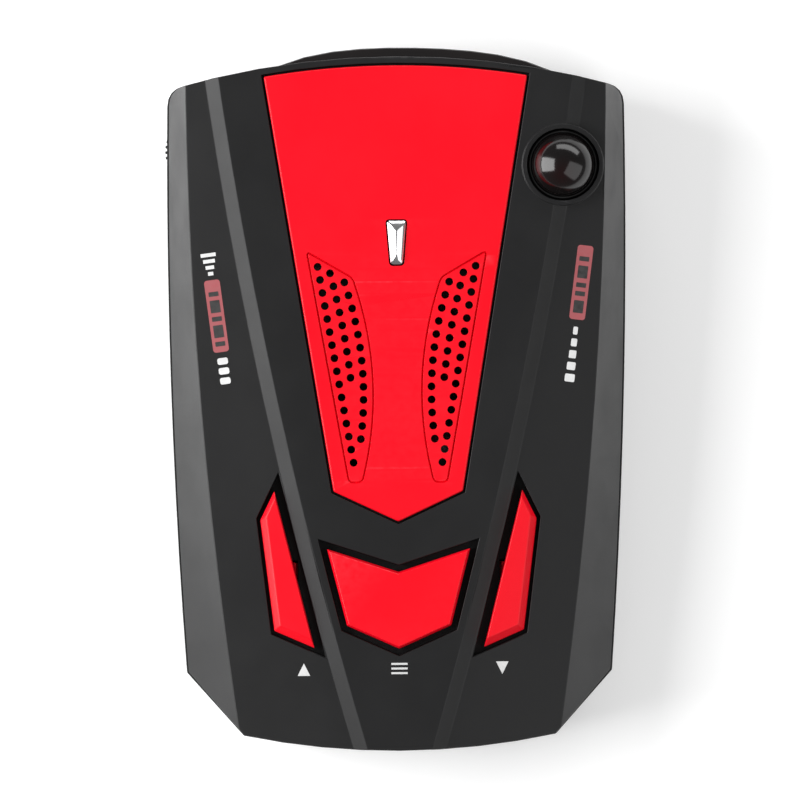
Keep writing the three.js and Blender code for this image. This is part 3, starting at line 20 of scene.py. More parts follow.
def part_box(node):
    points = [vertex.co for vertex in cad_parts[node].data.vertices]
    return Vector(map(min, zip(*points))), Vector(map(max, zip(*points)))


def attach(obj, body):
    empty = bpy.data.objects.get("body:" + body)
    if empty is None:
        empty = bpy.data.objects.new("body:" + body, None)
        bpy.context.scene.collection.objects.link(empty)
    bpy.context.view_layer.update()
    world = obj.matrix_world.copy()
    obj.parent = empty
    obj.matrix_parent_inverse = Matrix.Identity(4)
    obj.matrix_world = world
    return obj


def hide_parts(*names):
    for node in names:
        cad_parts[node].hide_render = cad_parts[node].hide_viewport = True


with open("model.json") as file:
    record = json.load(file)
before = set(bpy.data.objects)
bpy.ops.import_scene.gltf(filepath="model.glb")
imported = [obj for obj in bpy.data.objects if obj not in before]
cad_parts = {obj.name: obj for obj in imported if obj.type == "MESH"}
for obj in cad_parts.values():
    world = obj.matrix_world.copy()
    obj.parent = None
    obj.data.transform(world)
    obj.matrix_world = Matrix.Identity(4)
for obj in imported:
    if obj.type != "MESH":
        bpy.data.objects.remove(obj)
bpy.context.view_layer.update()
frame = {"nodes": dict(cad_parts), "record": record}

LOG = logging.getLogger("radar_detector")

MM = 0.001
Colour = tuple[float, float, float]
Plan = list[tuple[float, float]]
Height = Callable[[float, float], float]


# ------------------------------------------------------------------ bench tools


def put_down() -> None:
    """Leaves edit mode and deselects everything."""
    if bpy.context.object and bpy.context.object.mode != "OBJECT":
        bpy.ops.object.mode_set(mode="OBJECT")
    bpy.ops.object.select_all(action="DESELECT")


def pick_up(*pieces: bpy.types.Object) -> bpy.types.Object:
    """Selects these pieces alone and makes the first one active.

    Args:
        pieces: The pieces to work on.

    Returns:
        The active piece.
    """
    put_down()
    for piece in pieces:
        piece.select_set(True)
    bpy.context.view_layer.objects.active = pieces[0]
    return pieces[0]


def on_bench() -> bpy.types.Object:
    """The piece that was added last."""
    return bpy.context.object


def settle(piece: bpy.types.Object) -> bpy.types.Object:
    """Puts a piece's place, turn and size into its mesh.

    Args:
        piece: The piece to settle.

    Returns:
        The same piece, with its object at the origin.
    """
    pick_up(piece)
    bpy.ops.object.transform_apply(location=True, rotation=True, scale=True)
    return piece


def choose_faces(piece: bpy.types.Object, test: Callable[[Vector, Vector], bool]) -> None:
    """Selects the faces of a piece in edit mode by their place and normal.

    Args:
        piece: The piece being edited.
        test: Says, from a face's middle and its normal, whether it is chosen.
    """
    bpy.ops.mesh.select_mode(type="FACE")
    skin = bmesh.from_edit_mesh(piece.data)
    for face in skin.faces:
        face.select_set(test(face.calc_center_median(), face.normal))
    bmesh.update_edit_mesh(piece.data)


def cut_to_plan(piece: bpy.types.Object, plan: Plan) -> None:
    """Trims a flat blank, in edit mode, to a convex outline, one straight cut for each edge.

    Args:
        piece: The blank being edited. Not used.
        plan: The outline, anticlockwise.
    """
    for start, end in zip(plan, plan[1:] + plan[:1]):
        along = Vector((end[0] - start[0], end[1] - start[1], 0.0))
        outward = Vector((along.y, -along.x, 0.0)).normalized()
        bpy.ops.mesh.select_all(action="SELECT")
        bpy.ops.mesh.bisect(
            plane_co=(start[0], start[1], 0.0),
            plane_no=outward,
            clear_outer=True,
            threshold=1e-7,
        )


def plate(plan: Plan, thickness: float, rows: int = 1) -> bpy.types.Object:
    """A flat plate of a convex outline with its underside at z 0.

    Args:
        plan: The outline, anticlockwise.
        thickness: The plate's thickness.
        rows: How many rows of faces lie along Y, so that the plate can be draped.

    Returns:
        The plate.
    """
    xs, ys = [p[0] for p in plan], [p[1] for p in plan]
    width, length = max(xs) - min(xs), max(ys) - min(ys)
    middle = ((max(xs) + min(xs)) / 2, (max(ys) + min(ys)) / 2, 0.0)
    put_down()
    bpy.ops.mesh.primitive_grid_add(x_subdivisions=1, y_subdivisions=rows, size=1, location=middle)
    blank = on_bench()
    blank.scale = (width * 1.1, length * 1.1, 1.0)
    settle(blank)
    bpy.ops.object.mode_set(mode="EDIT")
    cut_to_plan(blank, plan)
    bpy.ops.mesh.select_all(action="SELECT")
    bpy.ops.mesh.extrude_region_move(TRANSFORM_OT_translate={"value": (0, 0, thickness)})
    bpy.ops.mesh.select_all(action="SELECT")
    bpy.ops.mesh.normals_make_consistent(inside=False)
    bpy.ops.object.mode_set(mode="OBJECT")
    return blank


def rounded_plan(plan: Plan, reach: float, steps: int = 5) -> Plan:
    """A convex outline with every corner replaced by a smooth curve.

    Args:
        plan: The outline, anticlockwise.
        reach: How far before and after its corner each curve starts.
        steps: How many steps each curve has.

    Returns:
        The rounded outline.
    """
    points: Plan = []
    for before, here, after in zip(plan[-1:] + plan[:-1], plan, plan[1:] + plan[:1]):
        corner = Vector(here)
        start = corner + (Vector(before) - corner).normalized() * reach
        end = corner + (Vector(after) - corner).normalized() * reach
        for i in range(steps + 1):
            t = i / steps
            spot = start * (1 - t) ** 2 + corner * (2 * t * (1 - t)) + end * t * t
            points.append((spot.x, spot.y))
    return points


def inset_plan(plan: Plan, gap: float) -> Plan:
    """A convex outline drawn in by an even gap.

    Args:
        plan: The outline, anticlockwise.
        gap: How far every side moves inward.

    Returns:
        The smaller outline.
    """
    corners: Plan = []
    for before, here, after in zip(plan[-1:] + plan[:-1], plan, plan[1:] + plan[:1]):
        a = (Vector(here) - Vector(before)).normalized()
        b = (Vector(after) - Vector(here)).normalized()
        inward_a, inward_b = Vector((-a.y, a.x)), Vector((-b.y, b.x))
        reach = gap / (1 + inward_a.dot(inward_b))
        corner = Vector(here) + (inward_a + inward_b) * reach
        corners.append((corner.x, corner.y))
    return corners


def drape(piece: bpy.types.Object, height: Height) -> None:
    """Raises each point of a piece by the height of the surface that it lies on.

    Args:
        piece: The piece to drape.
        height: The surface's height at x, y.
    """
    for vertex in piece.data.vertices:
        vertex.co.z += height(vertex.co.x, vertex.co.y)
    piece.data.update()


def turned(profile: Sequence[tuple[float, float]], steps: int = 64) -> bpy.types.Object:
    """Turns a profile round the Z axis.

    Args:
        profile: Points as (radius, height), along the profile.
        steps: How many steps the turn has.

    Returns:
        The turned piece, standing on the origin.
    """
    put_down()
    bpy.ops.mesh.primitive_plane_add(size=MM)
    piece = on_bench()
    bpy.ops.object.mode_set(mode="EDIT")
    bpy.ops.mesh.select_mode(type="VERT")
    bpy.ops.mesh.select_all(action="SELECT")
    bpy.ops.mesh.merge(type="CENTER")
    bpy.ops.transform.translate(value=(profile[0][0], 0, profile[0][1]))
    for (r0, z0), (r1, z1) in zip(profile, profile[1:]):
        bpy.ops.mesh.extrude_region_move(TRANSFORM_OT_translate={"value": (r1 - r0, 0, z1 - z0)})
    bpy.ops.mesh.select_all(action="SELECT")
    bpy.ops.mesh.spin(
        steps=steps,
        angle=2 * math.pi,
        center=(0, 0, 0),
        axis=(0, 0, 1),
        use_auto_merge=True,
    )
    bpy.ops.mesh.select_all(action="SELECT")
    bpy.ops.mesh.remove_doubles(threshold=1e-6)
    bpy.ops.mesh.normals_make_consistent(inside=False)
    bpy.ops.object.mode_set(mode="OBJECT")
    return piece


def arc(
    radius: float, start: float, end: float, steps: int, centre: tuple[float, float] = (0.0, 0.0)
) -> list[tuple[float, float]]:
    """Points along an arc, for a profile or an outline.

    Args:
        radius: The arc's radius.
        start: Its first angle, in degrees.
        end: Its last angle, in degrees.
        steps: How many steps it has.
        centre: Its centre.

    Returns:
        The points, both ends included.
    """
    angles = [math.radians(start + (end - start) * i / steps) for i in range(steps + 1)]
    return [(centre[0] + radius * math.cos(a), centre[1] + radius * math.sin(a)) for a in angles]


def round_edges(
    piece: bpy.types.Object,
    width: float,
    segments: int = 3,
    corner: float = 28.0,
    clamp: bool = False,
) -> None:
    """Rounds every edge of a piece that is sharper than an angle.

    Args:
        piece: The piece to round.
        width: How far the rounding reaches from the edge.
        segments: How many steps the rounding has.
        corner: The sharpest angle, in degrees, that is left alone.
        clamp: Whether the rounding narrows where there is no room for it.
    """
    pick_up(piece)
    bevel = piece.modifiers.new("rounding", "BEVEL")
    bevel.width = width
    bevel.segments = segments
    bevel.limit_method = "ANGLE"
    bevel.angle_limit = math.radians(corner)
    bevel.use_clamp_overlap = clamp
    bpy.ops.object.modifier_apply(modifier=bevel.name)


def smooth(piece: bpy.types.Object, corner: float = 30.0) -> None:
    """Shades a piece smooth, except across edges sharper than an angle in degrees."""
    pick_up(piece)
    bpy.ops.object.shade_smooth_by_angle(angle=math.radians(corner))


def flatten_shading(piece: bpy.types.Object) -> None:
    """Keeps large faces flat in shading, so that only the rounded edges turn the light."""
    pick_up(piece)
    weights = piece.modifiers.new("weights", "WEIGHTED_NORMAL")
    weights.keep_sharp = True
    weights.weight = 50
    bpy.ops.object.modifier_apply(modifier=weights.name)


def carve(piece: bpy.types.Object, cutter: bpy.types.Object) -> None:
    """Cuts one piece out of another and throws the cutter away.

    Args:
        piece: The piece that keeps its place.
        cutter: The shape that is taken out of it.
    """
    pick_up(piece)
    cut = piece.modifiers.new("cut", "BOOLEAN")
    cut.operation = "DIFFERENCE"
    cut.solver = "MANIFOLD"
    cut.object = cutter
    bpy.ops.object.modifier_apply(modifier=cut.name)
    bpy.data.objects.remove(cutter)


def join(pieces: Sequence[bpy.types.Object]) -> bpy.types.Object:
    """Joins pieces into the first one.

    Args:
        pieces: The pieces to join.

    Returns:
        The joined piece.
    """
    whole = pick_up(*pieces)
    if len(pieces) > 1:
        bpy.ops.object.join()
    return whole


def copy_at(piece: bpy.types.Object, x: float, y: float, z: float = 0.0) -> bpy.types.Object:
    """A copy of a piece, with a mesh of its own, moved to a place.

    Args:
        piece: The piece to copy.
        x: How far it moves along X.
        y: How far it moves along Y.
        z: How far it moves along Z.

    Returns:
        The copy.
    """
    copy = piece.copy()
    copy.data = piece.data.copy()
    bpy.context.scene.collection.objects.link(copy)
    copy.data.transform(Matrix.Translation((x, y, z)))
    return copy


def refined(node: str, width: float, segments: int = 3, corner: float = 28.0) -> bpy.types.Object:
    """A copy of a solid with its edges rounded as moulding leaves them.

    Args:
        node: The solid's name.
        width: How far each rounding reaches.
        segments: How many steps each rounding has.
        corner: The sharpest angle, in degrees, that is left alone.

    Returns:
        The refined copy.
    """
    source = frame["nodes"][node]
    piece = bpy.data.objects.new(node + "_skin", source.data.copy())
    bpy.context.scene.collection.objects.link(piece)
    pick_up(piece)
    bpy.ops.object.mode_set(mode="EDIT")
    bpy.ops.mesh.select_all(action="SELECT")
    bpy.ops.mesh.remove_doubles(threshold=2e-6)
    bpy.ops.mesh.dissolve_limited(angle_limit=math.radians(0.05))
    bpy.ops.object.mode_set(mode="OBJECT")
    round_edges(piece, width, segments, corner)
    smooth(piece)
    flatten_shading(piece)
    return piece


def deliver(
    piece: bpy.types.Object,
    name: str,
    body: str,
    finish: bpy.types.Material,
    stands_for: Sequence[str] = (),
) -> bpy.types.Object:
    """Names a finished piece, gives it its finish and sets it on its body.

    Args:
        piece: The finished piece.
        name: Its name.
        body: The body it moves with.
        finish: Its material.
        stands_for: The solids it is shown in place of.

    Returns:
        The same piece.
    """
    settle(piece)
    piece.name = name
    piece.data.name = name
    piece.data.materials.clear()
    piece.data.materials.append(finish)
    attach(piece, body)
    if stands_for:
        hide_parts(*stands_for)
    LOG.info("%s on %s, %d faces", name, body, len(piece.data.polygons))
    put_down()
    return piece


# ------------------------------------------------------------------ shared shader effects


class Effects:
    """The node groups that several finishes share, built once."""

    def __init__(self) -> None:
        """Builds every group."""
        self.grain = self._grain()
        self.smudges = self._smudges()
        self.drift = self._drift()
        self.wear = self._wear()
        self.flakes = self._flakes()

    @staticmethod
    def _new(
        name: str, inputs: Sequence[tuple[str, str, object]], outputs: Sequence[tuple[str, str]]
    ) -> tuple[bpy.types.NodeTree, bpy.types.Node, bpy.types.Node]:
        """Makes an empty group.

        Args:
            name: The group's name.
            inputs: Each input's name, socket type and default.
            outputs: Each output's name and socket type.

        Returns:
            The group, its input node and its output node.
        """
        tree = bpy.data.node_groups.new(name, "ShaderNodeTree")
        for label, kind, default in inputs:
            socket = tree.interface.new_socket(name=label, in_out="INPUT", socket_type=kind)
            if default is not None:
                socket.default_value = default
        for label, kind in outputs:
            tree.interface.new_socket(name=label, in_out="OUTPUT", socket_type=kind)
        return tree, tree.nodes.new("NodeGroupInput"), tree.nodes.new("NodeGroupOutput")

    @staticmethod
    def _noise(
        tree: bpy.types.NodeTree, source: bpy.types.Node, detail: float, roughness: float
    ) -> bpy.types.Node:
        """A noise texture that reads the group's Vector and Scale inputs.

        Args:
            tree: The group.
            source: The group's input node.
            detail: The noise's detail.
            roughness: The noise's roughness.

        Returns:
            The noise node.
        """
        noise = tree.nodes.new("ShaderNodeTexNoise")
        noise.inputs["Detail"].default_value = detail
        noise.inputs["Roughness"].default_value = roughness
        tree.links.new(source.outputs["Vector"], noise.inputs["Vector"])
        tree.links.new(source.outputs["Scale"], noise.inputs["Scale"])
        return noise

    @staticmethod
    def _spread(
        tree: bpy.types.NodeTree, value: bpy.types.NodeSocket, low: float, high: float
    ) -> bpy.types.NodeSocket:
        """Spreads a value between two limits to the range 0 to 1.

        Args:
            tree: The group.
            value: The value.
            low: The value that becomes 0.
            high: The value that becomes 1.

        Returns:
            The spread value.
        """
        spread = tree.nodes.new("ShaderNodeMapRange")
        spread.inputs["From Min"].default_value = low
        spread.inputs["From Max"].default_value = high
        tree.links.new(value, spread.inputs["Value"])
        return spread.outputs["Result"]

    def _grain(self) -> bpy.types.NodeTree:
        """The spark-eroded grain of moulded plastic, as a height."""
        tree, source, sink = self._new(
            "Moulded grain",
            [
                ("Vector", "NodeSocketVector", None),
                ("Scale", "NodeSocketFloat", 9000.0),
                ("Depth", "NodeSocketFloat", 0.3),
            ],
            [("Height", "NodeSocketFloat")],
        )
        fine = self._noise(tree, source, 3.0, 0.6)
        pits = tree.nodes.new("ShaderNodeTexVoronoi")
        tree.links.new(source.outputs["Vector"], pits.inputs["Vector"])
        tree.links.new(source.outputs["Scale"], pits.inputs["Scale"])
        blend = tree.nodes.new("ShaderNodeMath")
        blend.operation = "MULTIPLY_ADD"
        blend.inputs[1].default_value = 0.45
        tree.links.new(pits.outputs["Distance"], blend.inputs[0])
        tree.links.new(fine.outputs["Fac"], blend.inputs[2])
        depth = tree.nodes.new("ShaderNodeMath")
        depth.operation = "MULTIPLY"
        tree.links.new(blend.outputs[0], depth.inputs[0])
        tree.links.new(source.outputs["Depth"], depth.inputs[1])
        tree.links.new(depth.outputs[0], sink.inputs["Height"])
        return tree

    def _smudges(self) -> bpy.types.NodeTree:
        """Soft patches that handling leaves, as a roughness."""
        tree, source, sink = self._new(
            "Handling smudges",
            [
                ("Vector", "NodeSocketVector", None),
                ("Scale", "NodeSocketFloat", 90.0),
                ("Clean", "NodeSocketFloat", 0.4),
                ("Smudged", "NodeSocketFloat", 0.5),
            ],
            [("Roughness", "NodeSocketFloat"), ("Mask", "NodeSocketFloat")],
        )
        cloud = self._noise(tree, source, 4.0, 0.55)
        mask = self._spread(tree, cloud.outputs["Fac"], 0.4, 0.66)
        blend = tree.nodes.new("ShaderNodeMix")
        tree.links.new(mask, blend.inputs["Factor"])
        tree.links.new(source.outputs["Clean"], blend.inputs["A"])
        tree.links.new(source.outputs["Smudged"], blend.inputs["B"])
        tree.links.new(blend.outputs["Result"], sink.inputs["Roughness"])
        tree.links.new(mask, sink.inputs["Mask"])
        return tree

    def _drift(self) -> bpy.types.NodeTree:
        """A slow drift between two close colours."""
        tree, source, sink = self._new(
            "Colour drift",
            [
                ("Vector", "NodeSocketVector", None),
                ("Scale", "NodeSocketFloat", 60.0),
                ("Base", "NodeSocketColor", (0.5, 0.5, 0.5, 1.0)),
                ("Drift", "NodeSocketColor", (0.4, 0.4, 0.4, 1.0)),
            ],
            [("Color", "NodeSocketColor")],
        )
        cloud = self._noise(tree, source, 5.0, 0.6)
        mask = self._spread(tree, cloud.outputs["Fac"], 0.35, 0.7)
        blend = self._colour_mix(tree, mask, source.outputs["Base"], source.outputs["Drift"])
        tree.links.new(blend, sink.inputs["Color"])
        return tree

    def _wear(self) -> bpy.types.NodeTree:
        """Edges rubbed to another colour."""
        tree, source, sink = self._new(
            "Edge wear",
            [
                ("Vector", "NodeSocketVector", None),
                ("Scale", "NodeSocketFloat", 900.0),
                ("Base", "NodeSocketColor", (0.5, 0.5, 0.5, 1.0)),
                ("Worn", "NodeSocketColor", (0.7, 0.7, 0.7, 1.0)),
                ("Amount", "NodeSocketFloat", 0.3),
            ],
            [("Color", "NodeSocketColor"), ("Mask", "NodeSocketFloat")],
        )
        shape = tree.nodes.new("ShaderNodeNewGeometry")
        edge = self._spread(tree, shape.outputs["Pointiness"], 0.53, 0.62)
        breakup = self._noise(tree, source, 3.0, 0.6)
        patchy = self._spread(tree, breakup.outputs["Fac"], 0.3, 0.6)
        mask = self._times(tree, self._times(tree, edge, patchy), source.outputs["Amount"])
        blend = self._colour_mix(tree, mask, source.outputs["Base"], source.outputs["Worn"])
        tree.links.new(blend, sink.inputs["Color"])
        tree.links.new(mask, sink.inputs["Mask"])
        return tree

    def _flakes(self) -> bpy.types.NodeTree:
        """Metal flakes in a lacquer, as a colour and a mask."""
        tree, source, sink = self._new(
            "Metal flakes",
            [
                ("Vector", "NodeSocketVector", None),
                ("Scale", "NodeSocketFloat", 14000.0),
                ("Base", "NodeSocketColor", (0.5, 0.5, 0.5, 1.0)),
                ("Flake", "NodeSocketColor", (0.7, 0.7, 0.7, 1.0)),
                ("Amount", "NodeSocketFloat", 0.3),
            ],
            [("Color", "NodeSocketColor"), ("Mask", "NodeSocketFloat")],
        )
        cells = tree.nodes.new("ShaderNodeTexVoronoi")
        tree.links.new(source.outputs["Vector"], cells.inputs["Vector"])
        tree.links.new(source.outputs["Scale"], cells.inputs["Scale"])
        parts = tree.nodes.new("ShaderNodeSeparateColor")
        tree.links.new(cells.outputs["Color"], parts.inputs["Color"])
        bright = self._spread(tree, parts.outputs["Red"], 0.45, 1.0)
        mask = self._times(tree, bright, source.outputs["Amount"])
        blend = self._colour_mix(tree, mask, source.outputs["Base"], source.outputs["Flake"])
        tree.links.new(blend, sink.inputs["Color"])
        tree.links.new(mask, sink.inputs["Mask"])
        return tree

    @staticmethod
    def _times(
        tree: bpy.types.NodeTree, first: bpy.types.NodeSocket, second: bpy.types.NodeSocket
    ) -> bpy.types.NodeSocket:
        """The product of two values.

        Args:
            tree: The node tree.
            first: One value.
            second: The other value.

        Returns:
            The product.
        """
        product = tree.nodes.new("ShaderNodeMath")
        product.operation = "MULTIPLY"
        tree.links.new(first, product.inputs[0])
        tree.links.new(second, product.inputs[1])
        return product.outputs[0]

    @staticmethod
    def _colour_mix(
        tree: bpy.types.NodeTree,
        mask: bpy.types.NodeSocket,
        base: bpy.types.NodeSocket,
        other: bpy.types.NodeSocket,
    ) -> bpy.types.NodeSocket:
        """A mix of two colours.

        Args:
            tree: The node tree.
            mask: How much of the second colour shows.
            base: The first colour.
            other: The second colour.

        Returns:
            The mixed colour.
        """
        blend = tree.nodes.new("ShaderNodeMix")
        blend.data_type = "RGBA"
        tree.links.new(mask, blend.inputs["Factor"])
        tree.links.new(base, blend.inputs[6])
        tree.links.new(other, blend.inputs[7])
        return blend.outputs[2]


# ------------------------------------------------------------------ finishes


class Grain(Enum):
    """How coarse a surface's grain is, as a texture scale per metre."""

    COARSE = 2600.0
    MEDIUM = 5200.0
    FINE = 11000.0


@dataclass(frozen=True)
class Finish:
    """A finish of one material, from which its nodes are made."""

    name: str
    base: Colour
    drift: Colour
    roughness: float = 0.4
    smudged: float = 0.5
    metallic: float = 0.0
    specular: float = 0.5
    coat: float = 0.0
    coat_roughness: float = 0.05
    transmission: float = 0.0
    grain: Grain = Grain.FINE
    grain_depth: float = 0.2
    worn: Colour = (0.2, 0.2, 0.2)
    wear: float = 0.2
    emission: float = 0.0

    def build(self, effects: Effects) -> bpy.types.Material:
        """Makes the material.

        Args:
            effects: The shared effects.

        Returns:
            The material.
        """
        material = bpy.data.materials.new(self.name)
        material.use_nodes = True
        tree = material.node_tree
        shader = next(n for n in tree.nodes if n.type == "BSDF_PRINCIPLED")
        place = tree.nodes.new("ShaderNodeTexCoord").outputs["Object"]
        colour = self.colour(tree, effects, place)
        tree.links.new(colour, shader.inputs["Base Color"])
        smudges = self.effect(tree, effects.smudges, place)
        smudges.inputs["Clean"].default_value = self.roughness
        smudges.inputs["Smudged"].default_value = self.smudged
        tree.links.new(smudges.outputs["Roughness"], shader.inputs["Roughness"])
        grain = self.effect(tree, effects.grain, place)
        grain.inputs["Scale"].default_value = self.grain.value
        grain.inputs["Depth"].default_value = self.grain_depth
        bump = tree.nodes.new("ShaderNodeBump")
        bump.inputs["Distance"].default_value = 0.03 * MM
        bump.inputs["Strength"].default_value = 0.6
        tree.links.new(self.relief(tree, grain.outputs["Height"], place), bump.inputs["Height"])
        tree.links.new(bump.outputs["Normal"], shader.inputs["Normal"])
        shader.inputs["Metallic"].default_value = self.metallic
        shader.inputs["Specular IOR Level"].default_value = self.specular
        shader.inputs["Coat Weight"].default_value = self.coat
        shader.inputs["Coat Roughness"].default_value = self.coat_roughness
        shader.inputs["Transmission Weight"].default_value = self.transmission
        if self.emission:
            shader.inputs["Emission Color"].default_value = (*self.base, 1.0)
            shader.inputs["Emission Strength"].default_value = self.emission
        return material

    def effect(
        self, tree: bpy.types.NodeTree, group: bpy.types.NodeTree, place: bpy.types.NodeSocket
    ) -> bpy.types.Node:
        """Places a shared effect in the material.

        Args:
            tree: The material's nodes.
            group: The effect.
            place: The coordinates it reads.

        Returns:
            The placed group node.
        """
        node = tree.nodes.new("ShaderNodeGroup")
        node.node_tree = group
        tree.links.new(place, node.inputs["Vector"])
        return node

    def colour(
        self, tree: bpy.types.NodeTree, effects: Effects, place: bpy.types.NodeSocket
    ) -> bpy.types.NodeSocket:
        """The colour of the surface: a slow drift, with rubbed edges.

        Args:
            tree: The material's nodes.
            effects: The shared effects.
            place: The coordinates to read.

        Returns:
            The colour.
        """
        drift = self.effect(tree, effects.drift, place)
        drift.inputs["Base"].default_value = (*self.base, 1.0)
        drift.inputs["Drift"].default_value = (*self.drift, 1.0)
        wear = self.effect(tree, effects.wear, place)
        tree.links.new(drift.outputs["Color"], wear.inputs["Base"])
        wear.inputs["Worn"].default_value = (*self.worn, 1.0)
        wear.inputs["Amount"].default_value = self.wear
        return wear.outputs["Color"]

    def relief(
        self, tree: bpy.types.NodeTree, grain: bpy.types.NodeSocket, place: bpy.types.NodeSocket
    ) -> bpy.types.NodeSocket:
        """The height of the surface, which is its grain alone on a plain finish."""
        return grain


@dataclass(frozen=True)
class Lacquer(Finish):
    """A metallic lacquer under a clear coat."""

    flake: Colour = (1.0, 0.3, 0.3)
    flake_amount: float = 0.25

    def colour(
        self, tree: bpy.types.NodeTree, effects: Effects, place: bpy.types.NodeSocket
    ) -> bpy.types.NodeSocket:
        """The lacquer's colour, with flakes in it.

        Args:
            tree: The material's nodes.
            effects: The shared effects.
            place: The coordinates to read.

        Returns:
            The colour.
        """
        under = super().colour(tree, effects, place)
        flakes = self.effect(tree, effects.flakes, place)
        tree.links.new(under, flakes.inputs["Base"])
        flakes.inputs["Flake"].default_value = (*self.flake, 1.0)
        flakes.inputs["Amount"].default_value = self.flake_amount
        return flakes.outputs["Color"]


@dataclass(frozen=True)
class BoardFinish(Finish):
    """Lacquered laminate with copper tracks under it."""

    track: Colour = (0.03, 0.2, 0.06)
    pitch: float = 420.0

    def colour(
        self, tree: bpy.types.NodeTree, effects: Effects, place: bpy.types.NodeSocket
    ) -> bpy.types.NodeSocket:
        """The laminate's colour with lighter tracks.

        Args:
            tree: The material's nodes.
            effects: The shared effects.
            place: The coordinates to read.

        Returns:
            The colour.
        """
        under = super().colour(tree, effects, place)
        tracks = tree.nodes.new("ShaderNodeTexBrick")
        tracks.inputs["Scale"].default_value = self.pitch
        tracks.inputs["Mortar Size"].default_value = 0.06
        tracks.inputs["Color1"].default_value = (0.0, 0.0, 0.0, 1.0)
        tracks.inputs["Color2"].default_value = (0.0, 0.0, 0.0, 1.0)
        tracks.inputs["Mortar"].default_value = (1.0, 1.0, 1.0, 1.0)
        tree.links.new(place, tracks.inputs["Vector"])
        blend = tree.nodes.new("ShaderNodeMix")
        blend.data_type = "RGBA"
        blend.inputs[7].default_value = (*self.track, 1.0)
        tree.links.new(tracks.outputs["Color"], blend.inputs["Factor"])
        tree.links.new(under, blend.inputs[6])
        return blend.outputs[2]


@dataclass(frozen=True)
class SmokedFinish(Finish):
    """A dark window with a painted glow: deep red round its middle, fading to its base colour towards
    the rim.
    """

    # The painted glow: its colour, its centre and how far out it fades.
    glow: Colour = (0.05, 0.003, 0.005)
    centre: tuple[float, float, float] = (0.0, 0.0, 0.0)
    reach: float = 4.0 * MM

    def colour(
        self, tree: bpy.types.NodeTree, effects: Effects, place: bpy.types.NodeSocket
    ) -> bpy.types.NodeSocket:
        """The window's colour, with a painted deep red glow near its middle.

        Args:
            tree: The material's nodes.
            effects: The shared effects.
            place: The coordinates to read.

        Returns:
            The colour.
        """
        under = super().colour(tree, effects, place)
        # Painted glow: the red is mixed in by distance from the centre, full at the centre and gone at
        # the reach.
        distance = tree.nodes.new("ShaderNodeVectorMath")
        distance.operation = "DISTANCE"
        distance.inputs[1].default_value = self.centre
        tree.links.new(place, distance.inputs[0])
        fade = tree.nodes.new("ShaderNodeMapRange")
        fade.interpolation_type = "SMOOTHSTEP"
        fade.inputs["From Min"].default_value = self.reach
        fade.inputs["From Max"].default_value = 0.0
        tree.links.new(distance.outputs["Value"], fade.inputs["Value"])
        blend = tree.nodes.new("ShaderNodeMix")
        blend.data_type = "RGBA"
        blend.inputs[7].default_value = (*self.glow, 1.0)
        tree.links.new(fade.outputs["Result"], blend.inputs["Factor"])
        tree.links.new(under, blend.inputs[6])
        return blend.outputs[2]


